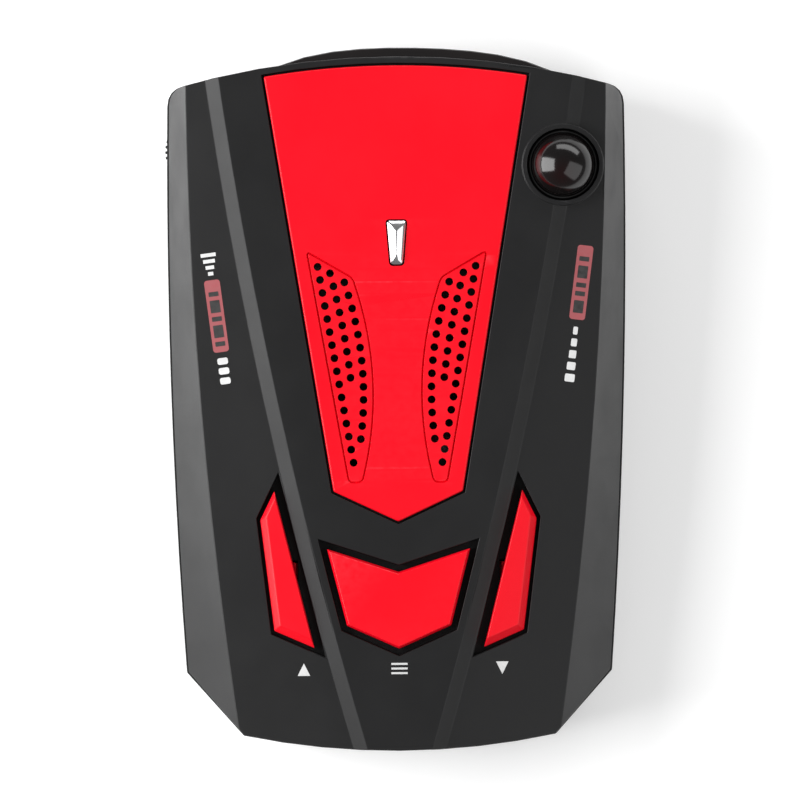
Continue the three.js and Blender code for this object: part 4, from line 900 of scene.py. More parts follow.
class Palette:
    """Every finish of the detector, built once and found by its record slot or a plain name."""

    def __init__(self, effects: Effects) -> None:
        """Builds the finishes.

        Args:
            effects: The shared effects.
        """
        dome_low, dome_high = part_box("dome_lens")
        # Centre of the dome's painted glow, a little to the rear of its middle and just under its top.
        glow_centre = (
            (dome_low.x + dome_high.x) / 2,
            (dome_low.y + dome_high.y) / 2 - 1.6 * MM,
            dome_high.z - 0.4 * MM,
        )
        black = (0.0085, 0.0085, 0.0089)
        finishes = {
            "case_black": Finish(
                "Satin black case", black, (0.0072, 0.0072, 0.0076), 0.4, 0.46,
                specular=0.29,
                grain=Grain.FINE, grain_depth=0.35, worn=(0.05, 0.05, 0.052), wear=0.5,
            ),
            "accent_red": Lacquer(
                "Red metallic lacquer", (0.79, 0.0018, 0.012), (0.76, 0.0014, 0.010), 0.34, 0.4,
                specular=0.2, coat=0.06, coat_roughness=0.18, grain_depth=0.05,
                worn=(1.0, 0.05, 0.07), wear=0.45, flake=(0.92, 0.004, 0.02), flake_amount=0.28,
            ),
            "chrome": Finish(
                "Polished chrome", (0.8, 0.8, 0.81), (0.72, 0.72, 0.74), 0.16, 0.22, 1.0,
                grain_depth=0.02, worn=(1.0, 1.0, 1.0), wear=0.1,
            ),
            "smoked_window": Finish(
                "Smoked window", (0.012, 0.009, 0.009), (0.008, 0.006, 0.006), 0.07, 0.13,
                coat=0.6, grain_depth=0.02, worn=(0.05, 0.05, 0.05), wear=0.1,
            ),
            # The dome's deep red middle is a painted glow on its near-black base.
            "dome": SmokedFinish(
                "Smoked dome", (0.004, 0.003, 0.003), (0.003, 0.002, 0.002), 0.13, 0.17,
                coat=0.0, grain_depth=0.0, wear=0.0,
                glow=(0.007, 0.0004, 0.0006), centre=glow_centre, reach=3.4 * MM,
            ),
            "dome_collar": Finish(
                "Dome collar", (0.006, 0.006, 0.006), (0.005, 0.005, 0.005), 0.3, 0.4,
                grain_depth=0.1, worn=(0.04, 0.04, 0.04),
            ),
            "component_black": Finish(
                "Component black", (0.018, 0.018, 0.019), (0.014, 0.014, 0.015), 0.4, 0.55,
                grain=Grain.MEDIUM, grain_depth=0.4, worn=(0.08, 0.08, 0.08), wear=0.4,
            ),
            "circuit_board": BoardFinish(
                "Green laminate", (0.01, 0.11, 0.035), (0.008, 0.09, 0.03), 0.35, 0.45,
                coat=0.3, grain_depth=0.2, worn=(0.2, 0.3, 0.1),
            ),
            "steel": Finish(
                "Plated steel", (0.5, 0.51, 0.52), (0.42, 0.42, 0.44), 0.28, 0.42, 1.0,
                grain=Grain.MEDIUM, grain_depth=0.3, worn=(0.8, 0.8, 0.8), wear=0.6,
            ),
            "cast_metal": Finish(
                "Cast metal", (0.45, 0.46, 0.47), (0.36, 0.36, 0.38), 0.45, 0.6, 1.0,
                grain=Grain.COARSE, grain_depth=1.0, worn=(0.7, 0.7, 0.7), wear=0.6,
            ),
            "clear_plastic": Finish(
                "Clear plastic", (0.9, 0.94, 0.96), (0.86, 0.9, 0.93), 0.05, 0.12,
                transmission=0.9, grain_depth=0.02, wear=0.0,
            ),
            "display_face": Finish(
                "Dark display face", (0.03, 0.004, 0.004), (0.02, 0.003, 0.003), 0.25, 0.35,
                coat=0.4, grain_depth=0.05,
            ),
            "speaker_paper": Finish(
                "Pressed paper", (0.022, 0.02, 0.019), (0.012, 0.011, 0.011), 0.85, 0.95,
                grain=Grain.COARSE, grain_depth=1.6, wear=0.1,
            ),
            "ferrite": Finish(
                "Bare ferrite", (0.05, 0.05, 0.055), (0.03, 0.03, 0.034), 0.55, 0.7,
                grain=Grain.MEDIUM, grain_depth=1.0, worn=(0.12, 0.12, 0.13), wear=0.5,
            ),
            "wire_red": Finish(
                "Red insulation", (0.4, 0.012, 0.012), (0.32, 0.01, 0.01), 0.42, 0.5,
                grain_depth=0.2,
            ),
            "wire_black": Finish(
                "Black insulation", (0.015, 0.015, 0.015), (0.02, 0.02, 0.02), 0.42, 0.5,
                grain_depth=0.2,
            ),
            "plug_white": Finish(
                "Natural nylon", (0.7, 0.68, 0.6), (0.62, 0.6, 0.52), 0.45, 0.55,
                grain_depth=0.3, worn=(0.8, 0.8, 0.75),
            ),
            "wheel_black": Finish(
                "Wheel black", (0.014, 0.014, 0.015), (0.011, 0.011, 0.012), 0.45, 0.6,
                grain=Grain.MEDIUM, grain_depth=0.6, worn=(0.07, 0.07, 0.07), wear=0.5,
            ),
            "foot_rubber": Finish(
                "Foot rubber", (0.014, 0.014, 0.014), (0.024, 0.024, 0.024), 0.75, 0.9,
                grain=Grain.MEDIUM, grain_depth=1.2, worn=(0.06, 0.06, 0.06), wear=0.4,
            ),
            "label_silver": Finish(
                "Silver foil", (0.5, 0.51, 0.52), (0.44, 0.45, 0.46), 0.35, 0.45, 0.6,
                grain=Grain.MEDIUM, grain_depth=0.25, wear=0.1,
            ),
            "print_white": Finish(
                "White print", (0.72, 0.72, 0.72), (0.6, 0.6, 0.6), 0.5, 0.6,
                grain_depth=0.3, worn=(0.4, 0.4, 0.4), wear=0.3,
            ),
            "print_red": Finish(
                "Muted red print", (0.36, 0.075, 0.085), (0.3, 0.055, 0.062), 0.5, 0.6,
                grain_depth=0.3, wear=0.1,
            ),
            "print_black": Finish(
                "Black print", (0.012, 0.01, 0.01), (0.009, 0.008, 0.008), 0.55, 0.65,
                grain_depth=0.3, wear=0.1,
            ),
        }
        self._made = {key: finish.build(effects) for key, finish in finishes.items()}

    def __getitem__(self, key: str) -> bpy.types.Material:
        """The material of a slot or name."""
        return self._made[key]


# ------------------------------------------------------------------ the case's own surfaces


@dataclass(frozen=True)
class CaseShape:
    """The bowed wedge that the upper cover follows, so that pieces can lie on it."""

    half_length: float = 53.5 * MM
    plateau_rear: float = 24.3 * MM
    plateau_front: float = 27.6 * MM
    plateau_bow: float = 0.8 * MM
    ridge_step: float = 1.3 * MM
    ridge_run: float = 2.0 * MM
    ridge_rear: float = 5.8 * MM
    ridge_front: float = 28.5 * MM
    ridge_bow: float = 2.1 * MM
    shoulder_slope: float = 0.1
    front_arc: float = 125.0 * MM
    cover_front: float = 52.4 * MM

    def bowed(self, rear: float, front: float, bow: float, y: float) -> float:
        """A value that runs from the rear to the front in a line, bowed by a parabola.

        Args:
            rear: The value at the rear end.
            front: The value at the front end.
            bow: How far it bows in the middle.
            y: Where it is asked for.

        Returns:
            The value at y.
        """
        u = y / self.half_length
        return rear + (front - rear) * (1 + u) / 2 + bow * (1 - u * u)

    def plateau(self, y: float) -> float:
        """Height of the raised middle at y."""
        return self.bowed(self.plateau_rear, self.plateau_front, self.plateau_bow, y)

    def crest(self, y: float) -> float:
        """Half the width of the raised middle at y."""
        ridge = self.bowed(self.ridge_rear, self.ridge_front, self.ridge_bow, y)
        return ridge - self.ridge_run / 2

    def surface(self, x: float, y: float) -> float:
        """Height of the cover at x, y, on the raised middle or on a shoulder."""
        beyond = abs(x) - self.crest(y) - self.ridge_run
        if beyond <= -self.ridge_run:
            return self.plateau(y)
        return self.plateau(y) - self.ridge_step - self.shoulder_slope * beyond

    def front_edge(self, x: float) -> float:
        """Y of the case's front edge at x."""
        return self.cover_front - self.front_arc + math.sqrt(self.front_arc**2 - x * x)


@dataclass
class Case:
    """The two covers and their windows."""

    palette: Palette
    edge: float = 0.13 * MM
    lower_edge: float = 0.2 * MM
    cover_corner: float = 12.0
    window_edge: float = 0.25 * MM
    window_corner: float = 50.0

    def build(self) -> None:
        """Builds and dresses every piece of the case."""
        covers = {"top_cover": self.edge, "bottom_cover": self.lower_edge}
        for node, edge in covers.items():
            skin = refined(node, edge, 3, self.cover_corner)
            deliver(skin, node + "_skin", "case", self.palette["case_black"], [node])
        for node in ("front_window", "display_window"):
            skin = refined(node, self.window_edge, 3, self.window_corner)
            deliver(
                skin, node + "_skin", "case", self.palette["smoked_window"], [node]
            )


@dataclass
class SpeakerPanel:
    """The red perforated panel with its two engraved grilles and the chrome stud."""

    palette: Palette
    shape: CaseShape
    tip_y: float = -18.8 * MM
    corner_y: float = -14.05 * MM
    rear_land: float = 5.0 * MM
    front_land: float = 7.0 * MM
    front_margin: float = 1.35 * MM
    gap: float = 0.35 * MM
    thickness: float = 1.5 * MM
    proud: float = 0.15 * MM
    grille_length: float = 35.0 * MM
    grille_rise: float = 1.6 * MM
    grille_slant: float = 4.0 * MM
    front_inset: float = 2.4 * MM
    rear_inset: float = 2.93 * MM
    front_width: float = 6.2 * MM
    middle_width: float = 6.8 * MM
    rear_width: float = 2.0 * MM
    hole_radius: float = 0.6 * MM
    hole_pitch: float = 1.98 * MM
    outer_hole_margin: float = 1.25 * MM
    inner_hole_margin: float = 1.45 * MM
    first_hole: float = 2.3 * MM
    columns: tuple[int, int, int] = (16, 9, 13)
    groove_radius: float = 0.15 * MM
    groove_depth: float = 0.42 * MM
    groove_corner: float = 0.72 * MM
    rim: float = 0.28 * MM
    fine_edge: float = 0.05 * MM
    bed_gap: float = 0.1 * MM
    drill_depth: float = 6 * MM
    drill_middle: float = 26.5 * MM
    pocket_gap: float = 0.22 * MM
    pocket_corner: float = 0.62 * MM
    pocket_depth: float = 8 * MM
    pocket_floor: float = 22 * MM
    stud_ahead: float = 4.6 * MM
    stud_length: float = 6.6 * MM
    stud_front: float = 2.9 * MM
    stud_rear: float = 1.8 * MM
    stud_corner: float = 0.5 * MM
    stud_height: float = 1.45 * MM
    stud_sunk: float = 1.2 * MM

    def recess(self) -> Plan:
        """The recess that the panel lies in, anticlockwise from its tip."""
        rear_x = self.shape.crest(self.corner_y) - self.rear_land
        front_x = self.shape.crest(self.shape.cover_front) - self.front_land
        xs = [front_x - 2 * front_x * i / 16 for i in range(17)]
        front = [(x, self.shape.front_edge(x) - self.front_margin) for x in xs]
        return [(0.0, self.tip_y), (rear_x, self.corner_y), *front, (-rear_x, self.corner_y)]

    def side_x(self, y: float) -> float:
        """X of the recess's right side at y."""
        plan = self.recess()
        (x0, y0), (x1, y1) = plan[1], plan[2]
        return x0 + (x1 - x0) * (y - y0) / (y1 - y0)

    @property
    def grille_rear(self) -> float:
        """Y of the grilles' rear ends."""
        return self.corner_y + self.grille_rise

    def outer_x(self, y: float) -> float:
        """X of the right-hand grille's outer edge at y."""
        share = (y - self.grille_rear) / self.grille_length
        inset = self.rear_inset + (self.front_inset - self.rear_inset) * share
        return self.side_x(y) - inset

    def inner_x(self, y: float) -> float:
        """X of the right-hand grille's bowed inner edge at y."""
        front_y = self.grille_rear + self.grille_length - self.grille_slant
        middle_y = (front_y + self.grille_rear) / 2
        t = (front_y - y) / (front_y - self.grille_rear)
        first = self.outer_x(front_y) - self.front_width
        bend = self.outer_x(middle_y) - self.middle_width - self.rear_width
        last = self.outer_x(self.grille_rear) - self.rear_width
        return (1 - t) ** 2 * first + 2 * t * (1 - t) * bend + t * t * last

    def grille(self) -> Plan:
        """The right-hand grille's outline, anticlockwise from its outer rear end."""
        rear, front = self.grille_rear, self.grille_rear + self.grille_length
        inner_front = front - self.grille_slant
        ys = [inner_front + (rear - inner_front) * i / 20 for i in range(21)]
        inner = [(self.inner_x(y), y) for y in ys]
        return [(self.outer_x(rear), rear), (self.outer_x(front), front), *inner]

    def holes(self) -> Plan:
        """Centres of the right-hand grille's holes."""
        first = self.grille_rear + self.grille_length - self.first_hole
        outer = [first - i * self.hole_pitch for i in range(self.columns[0])]
        middle = [first - (i + 0.5) * self.hole_pitch for i in range(self.columns[1])]
        inner = [first - (i + 1.2) * self.hole_pitch for i in range(self.columns[2])]

        def outer_x(y: float) -> float:
            """X of the outer column at y."""
            return self.outer_x(y) - self.outer_hole_margin

        def inner_x(y: float) -> float:
            """X of the inner column at y."""
            return self.inner_x(y) + self.inner_hole_margin

        return [
            *[(outer_x(y), y) for y in outer],
            *[((outer_x(y) + inner_x(y)) / 2, y) for y in middle],
            *[(inner_x(y), y) for y in inner],
        ]

    def groove(self, side: int) -> bpy.types.Object:
        """A round cutter along a grille's outline.

        Args:
            side: 1 for the right-hand grille and -1 for the left-hand one.

        Returns:
            The cutter, lying in the panel's surface.
        """
        plan = [(side * x, y) for x, y in rounded_plan(self.grille(), self.groove_corner)]
        route = bpy.data.curves.new("groove_route", "CURVE")
        route.dimensions = "3D"
        route.bevel_depth = self.groove_radius
        route.bevel_resolution = 2
        line = route.splines.new("POLY")
        line.points.add(len(plan) - 1)
        for knot, (x, y) in zip(line.points, plan):
            knot.co = (x, y, 0.0, 1.0)
        line.use_cyclic_u = True
        cutter = bpy.data.objects.new("groove", route)
        bpy.context.scene.collection.objects.link(cutter)
        pick_up(cutter)
        bpy.ops.object.convert(target="MESH")
        cutter = on_bench()
        cutter.scale.z = self.groove_depth / self.groove_radius
        settle(cutter)
        drape(cutter, lambda x, y: self.shape.plateau(y) + self.proud)
        return cutter

    def drills(self) -> bpy.types.Object:
        """All the holes' cutters, as one piece."""
        put_down()
        bpy.ops.mesh.primitive_cylinder_add(
            vertices=24, radius=self.hole_radius, depth=self.drill_depth,
            location=(0, 0, self.drill_middle),
        )
        drill = settle(on_bench())
        copies = [copy_at(drill, side * x, y) for x, y in self.holes() for side in (1, -1)]
        bpy.data.objects.remove(drill)
        return join(copies)

    def stud_plan(self, margin: float) -> Plan:
        """The stud's outline, grown by a margin, anticlockwise."""
        front = self.grille_rear + self.grille_length + self.stud_ahead
        rear = front - self.stud_length
        half_front, half_rear = self.stud_front / 2 + margin, self.stud_rear / 2 + margin
        return [
            (-half_front, front + margin),
            (-half_rear, rear - margin),
            (half_rear, rear - margin),
            (half_front, front + margin),
        ]

    def build(self) -> None:
        """Builds the panel and its stud."""
        plan = inset_plan(self.recess(), self.gap)
        panel = plate(plan, self.thickness - self.bed_gap + self.proud, rows=40)
        drape(panel, lambda x, y: self.shape.plateau(y) - self.thickness + self.bed_gap)
        round_edges(panel, self.rim, 4, 40.0)
        for side in (1, -1):
            carve(panel, self.groove(side))
        carve(panel, self.drills())
        pocket_plan = rounded_plan(self.stud_plan(self.pocket_gap), self.pocket_corner)
        pocket = plate(pocket_plan, self.pocket_depth)
        pocket.data.transform(Matrix.Translation((0, 0, self.pocket_floor)))
        carve(panel, pocket)
        round_edges(panel, self.fine_edge, 2, 50.0)
        smooth(panel, 35.0)
        flatten_shading(panel)
        deliver(
            panel, "speaker_panel", "case", self.palette["accent_red"],
            ["accent_panel"],
        )
        self.build_stud()

    def build_stud(self) -> None:
        """Builds the chrome gem, a long hipped roof with rounded edges."""
        front = self.grille_rear + self.grille_length + self.stud_ahead
        base = self.shape.plateau(front) - self.stud_sunk
        stud = plate(rounded_plan(self.stud_plan(0.0), self.stud_corner), self.stud_height)
        stud.data.transform(Matrix.Translation((0, 0, base)))
        pick_up(stud)
        bpy.ops.object.mode_set(mode="EDIT")
        choose_faces(stud, lambda middle, normal: normal.z > 0.9)
        bpy.ops.mesh.extrude_region_move(TRANSFORM_OT_translate={"value": (0, 0, 0.32 * MM)})
        bpy.ops.transform.resize(
            value=(0.7, 0.86, 1.0), center_override=(0.0, front - self.stud_length * 0.5, base)
        )
        bpy.ops.mesh.extrude_region_move(TRANSFORM_OT_translate={"value": (0, 0, 0.3 * MM)})
        bpy.ops.transform.resize(
            value=(0.12, 0.66, 1.0), center_override=(0.0, front - self.stud_length * 0.48, base)
        )
        bpy.ops.object.mode_set(mode="OBJECT")
        round_edges(stud, self.fine_edge, 2, 18.0, clamp=True)
        smooth(stud, 20.0)
        deliver(stud, "chrome_gem", "case", self.palette["chrome"], ["chrome_stud"])


@dataclass
class Keys:
    """The three angular keys."""

    palette: Palette
    edge: float = 0.16 * MM

    def build(self) -> None:
        """Refines each key and sets it on its own body."""
        for name in ("up", "menu", "down"):
            cap = refined(f"{name}_button", self.edge, 3, 12.0)
            deliver(
                cap, f"{name}_key_cap", f"{name}_key", self.palette["accent_red"],
                [f"{name}_button"],
            )


@dataclass
class Dome:
    """The glossy all-round dome and the dark collar it stands in."""

    palette: Palette
    radius: float = 4.75 * MM
    collar_outer: float = 5.15 * MM
    wall: float = 1.0 * MM

    def build(self) -> None:
        """Turns the dome and its collar."""
        low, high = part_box("dome_lens")
        x, y = (low.x + high.x) / 2, (low.y + high.y) / 2
        centre_z = high.z - self.radius - 0.01 * MM
        inner = self.radius - self.wall
        skin = [
            *arc(inner, 90, 0, 16, (0.0, centre_z)),
            (inner, centre_z - 2.4 * MM),
            (self.radius, centre_z - 2.4 * MM),
            *arc(self.radius, 0, 90, 24, (0.0, centre_z)),
        ]
        dome = turned(skin, 72)
        smooth(dome, 40.0)
        dome.location = (x, y, 0.0)
        deliver(dome, "dome_glass", "case", self.palette["dome"], ["dome_lens"])
        rim = self.collar_outer
        seat = centre_z + 0.05 * MM
        collar = turned(
            [
                (self.radius + 0.06 * MM, low.z),
                (rim, low.z),
                (rim, seat - 0.1 * MM),
                (rim - 0.1 * MM, seat),
                (self.radius + 0.2 * MM, seat),
                (self.radius + 0.06 * MM, seat - 0.14 * MM),
                (self.radius + 0.06 * MM, low.z),
            ],
            72,
        )
        smooth(collar, 30.0)
        collar.location = (x, y, 0.0)
        deliver(collar, "dome_collar", "case", self.palette["dome_collar"])


@dataclass
class Thumbwheel:
    """The ribbed volume wheel that stands out of the left side."""

    palette: Palette
    ribs: int = 44
    rib_height: float = 0.3 * MM
    relief: float = 0.06 * MM
    rim_width: float = 1.2 * MM
    dish_slope: float = 0.2 * MM
    dish_depth: float = 0.4 * MM

    def build(self) -> None:
        """Builds the wheel from a cylinder whose rim is ribbed."""
        low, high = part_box("volume_wheel")
        radius, middle = (high.y - low.y) / 2 - self.relief, (low + high) / 2
        put_down()
        bpy.ops.mesh.primitive_cylinder_add(
            vertices=self.ribs * 4, radius=radius, depth=high.z - low.z, location=middle
        )
        wheel = settle(on_bench())
        pick_up(wheel)
        bpy.ops.object.mode_set(mode="EDIT")
        bpy.ops.mesh.select_mode(type="VERT")
        skin = bmesh.from_edit_mesh(wheel.data)
        step = math.pi / 2 / self.ribs
        for vertex in skin.verts:
            turn = math.atan2(vertex.co.y - middle.y, vertex.co.x - middle.x)
            vertex.select_set(round(turn / step) % 4 >= 2)
        skin.select_flush_mode()
        bmesh.update_edit_mesh(wheel.data)
        shrink = 1 - self.rib_height / radius
        bpy.ops.transform.resize(value=(shrink, shrink, 1.0), center_override=middle)
        choose_faces(wheel, lambda place, normal: abs(normal.z) > 0.9)
        bpy.ops.mesh.inset(thickness=self.rim_width, depth=0.0)
        bpy.ops.mesh.inset(thickness=self.dish_slope, depth=-self.dish_depth)
        bpy.ops.object.mode_set(mode="OBJECT")
        round_edges(wheel, 0.05 * MM, 2, 35.0, clamp=True)
        smooth(wheel, 30.0)
        deliver(
            wheel, "ribbed_wheel", "wheel", self.palette["wheel_black"],
            ["volume_wheel"],
        )


@dataclass
class Underside:
    """The feet, case screws and blank label."""

    palette: Palette

    def build(self) -> None:
        """Builds everything that shows under the case."""
        self.build_feet()
        self.build_screws()
        self.build_label()

    def build_feet(self) -> None:
        """Turns one foot and copies it to each seat."""
        low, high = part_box("foot_1")
        radius, top = (high.x - low.x) / 2, high.z
        profile = [
            (0.0, 0.25 * MM),
            (radius * 0.45, 0.25 * MM),
            (radius * 0.5, 0.05 * MM),
            (radius * 0.56, 0.0),
            *arc(0.45 * MM, -90, 0, 6, (radius - 0.45 * MM, 0.45 * MM)),
            (radius, top),
            (0.0, top),
        ]
        foot = turned(profile, 56)
        smooth(foot, 35.0)
        for number in range(1, 5):
            low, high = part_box(f"foot_{number}")
            seat = (low + high) / 2
            deliver(
                copy_at(foot, seat.x, seat.y), f"rubber_foot_{number}", "case",
                self.palette["foot_rubber"], [f"foot_{number}"],
            )
        bpy.data.objects.remove(foot)

    def build_screws(self) -> None:
        """Turns one cross-head screw and copies it to each case boss."""
        low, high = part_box("case_screw_1")
        head, bottom = (high.x - low.x) / 2, low.z
        shank = head * 0.55
        profile = [
            (0.0, bottom),
            (head * 0.55, bottom + 0.04 * MM),
            (head * 0.85, bottom + 0.3 * MM),
            (head, bottom + 0.75 * MM),
            (head, bottom + 1.4 * MM),
            (shank, bottom + 1.4 * MM),
            (shank, high.z - 1.0 * MM),
            (0.0, high.z),
        ]
        screw = turned(profile, 40)
        for turn in (0.0, math.pi / 2):
            bpy.ops.mesh.primitive_cube_add(size=1, location=(0, 0, bottom), rotation=(0, 0, turn))
            slot = on_bench()
            slot.scale = (head * 1.15, 0.5 * MM, 1.5 * MM)
            carve(screw, settle(slot))
        round_edges(screw, 0.05 * MM, 2, 40.0)
        smooth(screw, 35.0)
        for number in range(1, 5):
            low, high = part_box(f"case_screw_{number}")
            seat = (low + high) / 2
            deliver(
                copy_at(screw, seat.x, seat.y), f"cross_screw_{number}", "case",
                self.palette["steel"], [f"case_screw_{number}"],
            )
        bpy.data.objects.remove(screw)

    def build_label(self) -> None:
        """Builds the blank label with a raised border."""
        low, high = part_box("rating_label")
        plan = [(low.x, low.y), (high.x, low.y), (high.x, high.y), (low.x, high.y)]
        label = plate(plan, high.z - low.z)
        label.data.transform(Matrix.Translation((0, 0, low.z)))
        pick_up(label)
        bpy.ops.object.mode_set(mode="EDIT")
        choose_faces(label, lambda middle, normal: normal.z < -0.9)
        bpy.ops.mesh.inset(thickness=0.9 * MM, depth=0.0)
        bpy.ops.mesh.inset(thickness=0.1 * MM, depth=-0.08 * MM)
        bpy.ops.object.mode_set(mode="OBJECT")
        round_edges(label, 0.04 * MM, 2, 30.0)
        deliver(
            label, "blank_label", "case", self.palette["label_silver"],
            ["rating_label"],
        )


@dataclass
class PowerInlet:
    """The round power socket in the right side."""

    palette: Palette
    barrel: float = 2.4 * MM
    bore: float = 1.8 * MM
    pin: float = 0.65 * MM

    def build(self) -> None:
        """Builds the socket's body and its pin."""
        low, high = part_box("power_socket")
        length = high.x - low.x
        axis_y, axis_z = (low.y + high.y) / 2, high.z - self.barrel
        chamfer = 0.25 * MM
        barrel = turned(
            [
                (self.bore, 1.2 * MM),
                (self.barrel, 1.2 * MM),
                (self.barrel, length - 0.15 * MM),
                (self.barrel - 0.15 * MM, length),
                (self.bore + chamfer, length),
                (self.bore, length - chamfer),
                (self.bore, 1.2 * MM),
            ],
            56,
        )
        smooth(barrel, 35.0)
        pin = turned(
            [
                (0.0, 0.8 * MM),
                (self.pin, 0.8 * MM),
                (self.pin, length - 1.0 * MM),
                *arc(self.pin, 0, 90, 6, (0.0, length - 1.3 * MM)),
            ],
            32,
        )
        smooth(pin, 35.0)
        for piece in (barrel, pin):
            piece.rotation_euler = (0.0, math.pi / 2, 0.0)
            piece.location = (low.x, axis_y, axis_z)
        bpy.ops.mesh.primitive_cube_add(size=1, location=(low.x + 2.9 * MM, axis_y, axis_z))
        block = on_bench()
        block.scale = (5.6 * MM, high.y - low.y, high.z - low.z)
        settle(block)
        round_edges(block, 0.2 * MM, 2, 40.0)
        smooth(block, 30.0)
        black = self.palette["component_black"]
        deliver(barrel, "inlet_barrel", "case", black, ["power_socket"])
        deliver(block, "inlet_block", "case", black)
        deliver(pin, "inlet_pin", "case", self.palette["steel"])


class Ink(Enum):
    """The colours that the marks are printed in."""

    WHITE = "print_white"
    RED = "print_red"
    BLACK = "print_black"


@dataclass
class Marks:
    """The printed marks: a symbol by each key and a strip of plain signal bars on each shoulder."""

    palette: Palette
    shape: CaseShape
    film: float = 0.03 * MM
    symbol: float = 1.9 * MM
    under: float = 0.02 * MM
    strip_tilt: float = 7.4
    strip_root: tuple[float, float] = (26.0 * MM, 2.4 * MM)
    bar_pitch: float = 0.7 * MM
    bar: float = 0.3 * MM
    pieces: dict[Ink, list[bpy.types.Object]] = field(default_factory=dict)

    def lay(self, plan: Plan, ink: Ink, lift: float = 0.0, rows: int = 1) -> None:
        """Lays one printed shape on the cover.

        Args:
            plan: Its outline, anticlockwise and convex.
            ink: Its colour.
            lift: How far it lies above the first layer.
            rows: How many rows it needs to follow the surface.
        """
        shape = plate(plan, self.film + self.under, rows)
        drape(shape, lambda x, y: self.shape.surface(x, y) - self.under + lift)
        self.pieces.setdefault(ink, []).append(shape)

    def flush(self, name: str) -> None:
        """Joins the shapes laid so far, by colour, and delivers them.

        Args:
            name: The place the shapes belong to.
        """
        for ink, shapes in self.pieces.items():
            deliver(
                join(shapes), f"{name}_{ink.name.lower()}", "case",
                self.palette[ink.value],
            )
        self.pieces = {}

    def strip(self, side: int, along: float, across: float) -> tuple[float, float]:
        """A point of a shoulder strip, in the case's plan.

        Args:
            side: 1 for the right shoulder and -1 for the left one.
            along: Distance from the strip's rear end.
            across: Distance from its middle line, to the right.

        Returns:
            The point's x and y.
        """
        tilt = math.radians(self.strip_tilt)
        return (
            side * self.strip_root[0] + side * along * math.sin(tilt) + across * math.cos(tilt),
            self.strip_root[1] + along * math.cos(tilt) - side * across * math.sin(tilt),
        )

    def block(
        self, side: int, start: float, end: float, left: float, right: float, ink: Ink,
        lift: float = 0.0, corner: float = 0.0,
    ) -> None:
        """Prints a rectangle of a shoulder strip, in millimetres of the strip.

        Args:
            side: 1 for the right shoulder and -1 for the left one.
            start: Its rear end along the strip.
            end: Its front end.
            left: Its left side across the strip.
            right: Its right side.
            ink: Its colour.
            lift: How far it lies above the first layer.
            corner: The radius of its corners.
        """
        box = [(right, start), (right, end), (left, end), (left, start)]
        if corner:
            c = corner
            box = [
                *arc(c, -90, 0, 4, (right - c, start + c)),
                *arc(c, 0, 90, 4, (right - c, end - c)),
                *arc(c, 90, 180, 4, (left + c, end - c)),
                *arc(c, 180, 270, 4, (left + c, start + c)),
            ]
        plan = [self.strip(side, y * MM, x * MM) for x, y in box]
        self.lay(plan, ink, lift, rows=max(1, int((end - start) / 2)))

    def build(self) -> None:
        """Prints every mark."""
        self.build_symbols()
        self.build_left_strip()
        self.build_right_strip()

    def build_symbols(self) -> None:
        """Prints an up arrow, three lines and a down arrow by the keys."""
        half = self.symbol / 2
        up, menu, down = (-14.5 * MM, -40.8 * MM), (0.0, -40.7 * MM), (15.6 * MM, -40.7 * MM)
        x, y = up
        self.lay([(x - half, y - half), (x + half, y - half), (x, y + half)], Ink.WHITE)
        self.flush("up_symbol")
        x, y = menu
        for row in (-1, 0, 1):
            low = y + row * self.bar_pitch - self.bar / 2
            high, wide = low + self.bar, half * 1.3
            self.lay([(x - wide, low), (x + wide, low), (x + wide, high), (x - wide, high)], Ink.WHITE)
        self.flush("menu_symbol")
        x, y = down
        self.lay([(x - half, y + half), (x, y - half), (x + half, y + half)], Ink.WHITE)
        self.flush("down_symbol")

    def build_left_strip(self) -> None:
        """Prints rising bars, a red field with plain bands, and a row of dots."""
        side = -1
        for i in range(4):
            start, half = i * 0.95, 0.4 + 0.25 * i
            self.block(side, 16.8 + start, 17.35 + start, -half, half, Ink.WHITE)
        self.block(side, 5.1, 16.1, -1.2, 1.2, Ink.RED, corner=0.45)
        for start, end in ((6.0, 6.7), (7.3, 9.2), (9.8, 10.5), (11.1, 13.0), (13.6, 14.3)):
            self.block(side, start, end, -0.75, 0.75, Ink.BLACK, 0.02 * MM, 0.1)
        for start in (0.2, 1.7, 3.2):
            self.block(side, start, start + 1.0, -0.8, 0.8, Ink.WHITE, corner=0.3)
        self.flush("left_strip")

    def build_right_strip(self) -> None:
        """Prints a red field with plain bands, and long dashes."""
        side = 1
        self.block(side, 9.7, 21.0, -1.2, 1.2, Ink.RED, corner=0.45)
        for start, end in ((10.7, 12.6), (13.3, 14.0), (14.6, 15.3), (16.0, 17.9), (18.6, 19.3)):
            self.block(side, start, end, -0.75, 0.75, Ink.BLACK, 0.02 * MM, 0.1)
        for i in range(5):
            start, half = i * 1.8, 0.75 - 0.1 * i
            self.block(side, 0.2 + start, 1.4 + start, -half, half, Ink.WHITE, corner=0.2)
        self.flush("right_strip")


@dataclass
class Inside:
    """The solids that stay as they are, mostly out of sight."""

    palette: Palette
    # Painted shade: the speaker frame takes the black finish in place of its steel slot, so that the
    # grille holes read dark.
    painted: dict[str, str] = field(default_factory=lambda: {"speaker_frame": "component_black"})

    def build(self) -> None:
        """Gives each remaining solid the finish of its record slot, save the speaker frame, which is
        blackened in place of its steel as painted shade in the grille holes.
        """
        slots = {s["node"]: s["material_slot"] for s in frame["record"]["subparts"]}
        for name, node in frame["nodes"].items():
            finish = self.painted.get(name, slots[name])
            node.data.materials.clear()
            node.data.materials.append(self.palette[finish])
        LOG.info("dressed %d solids", len(frame["nodes"]))


# ------------------------------------------------------------------ studio


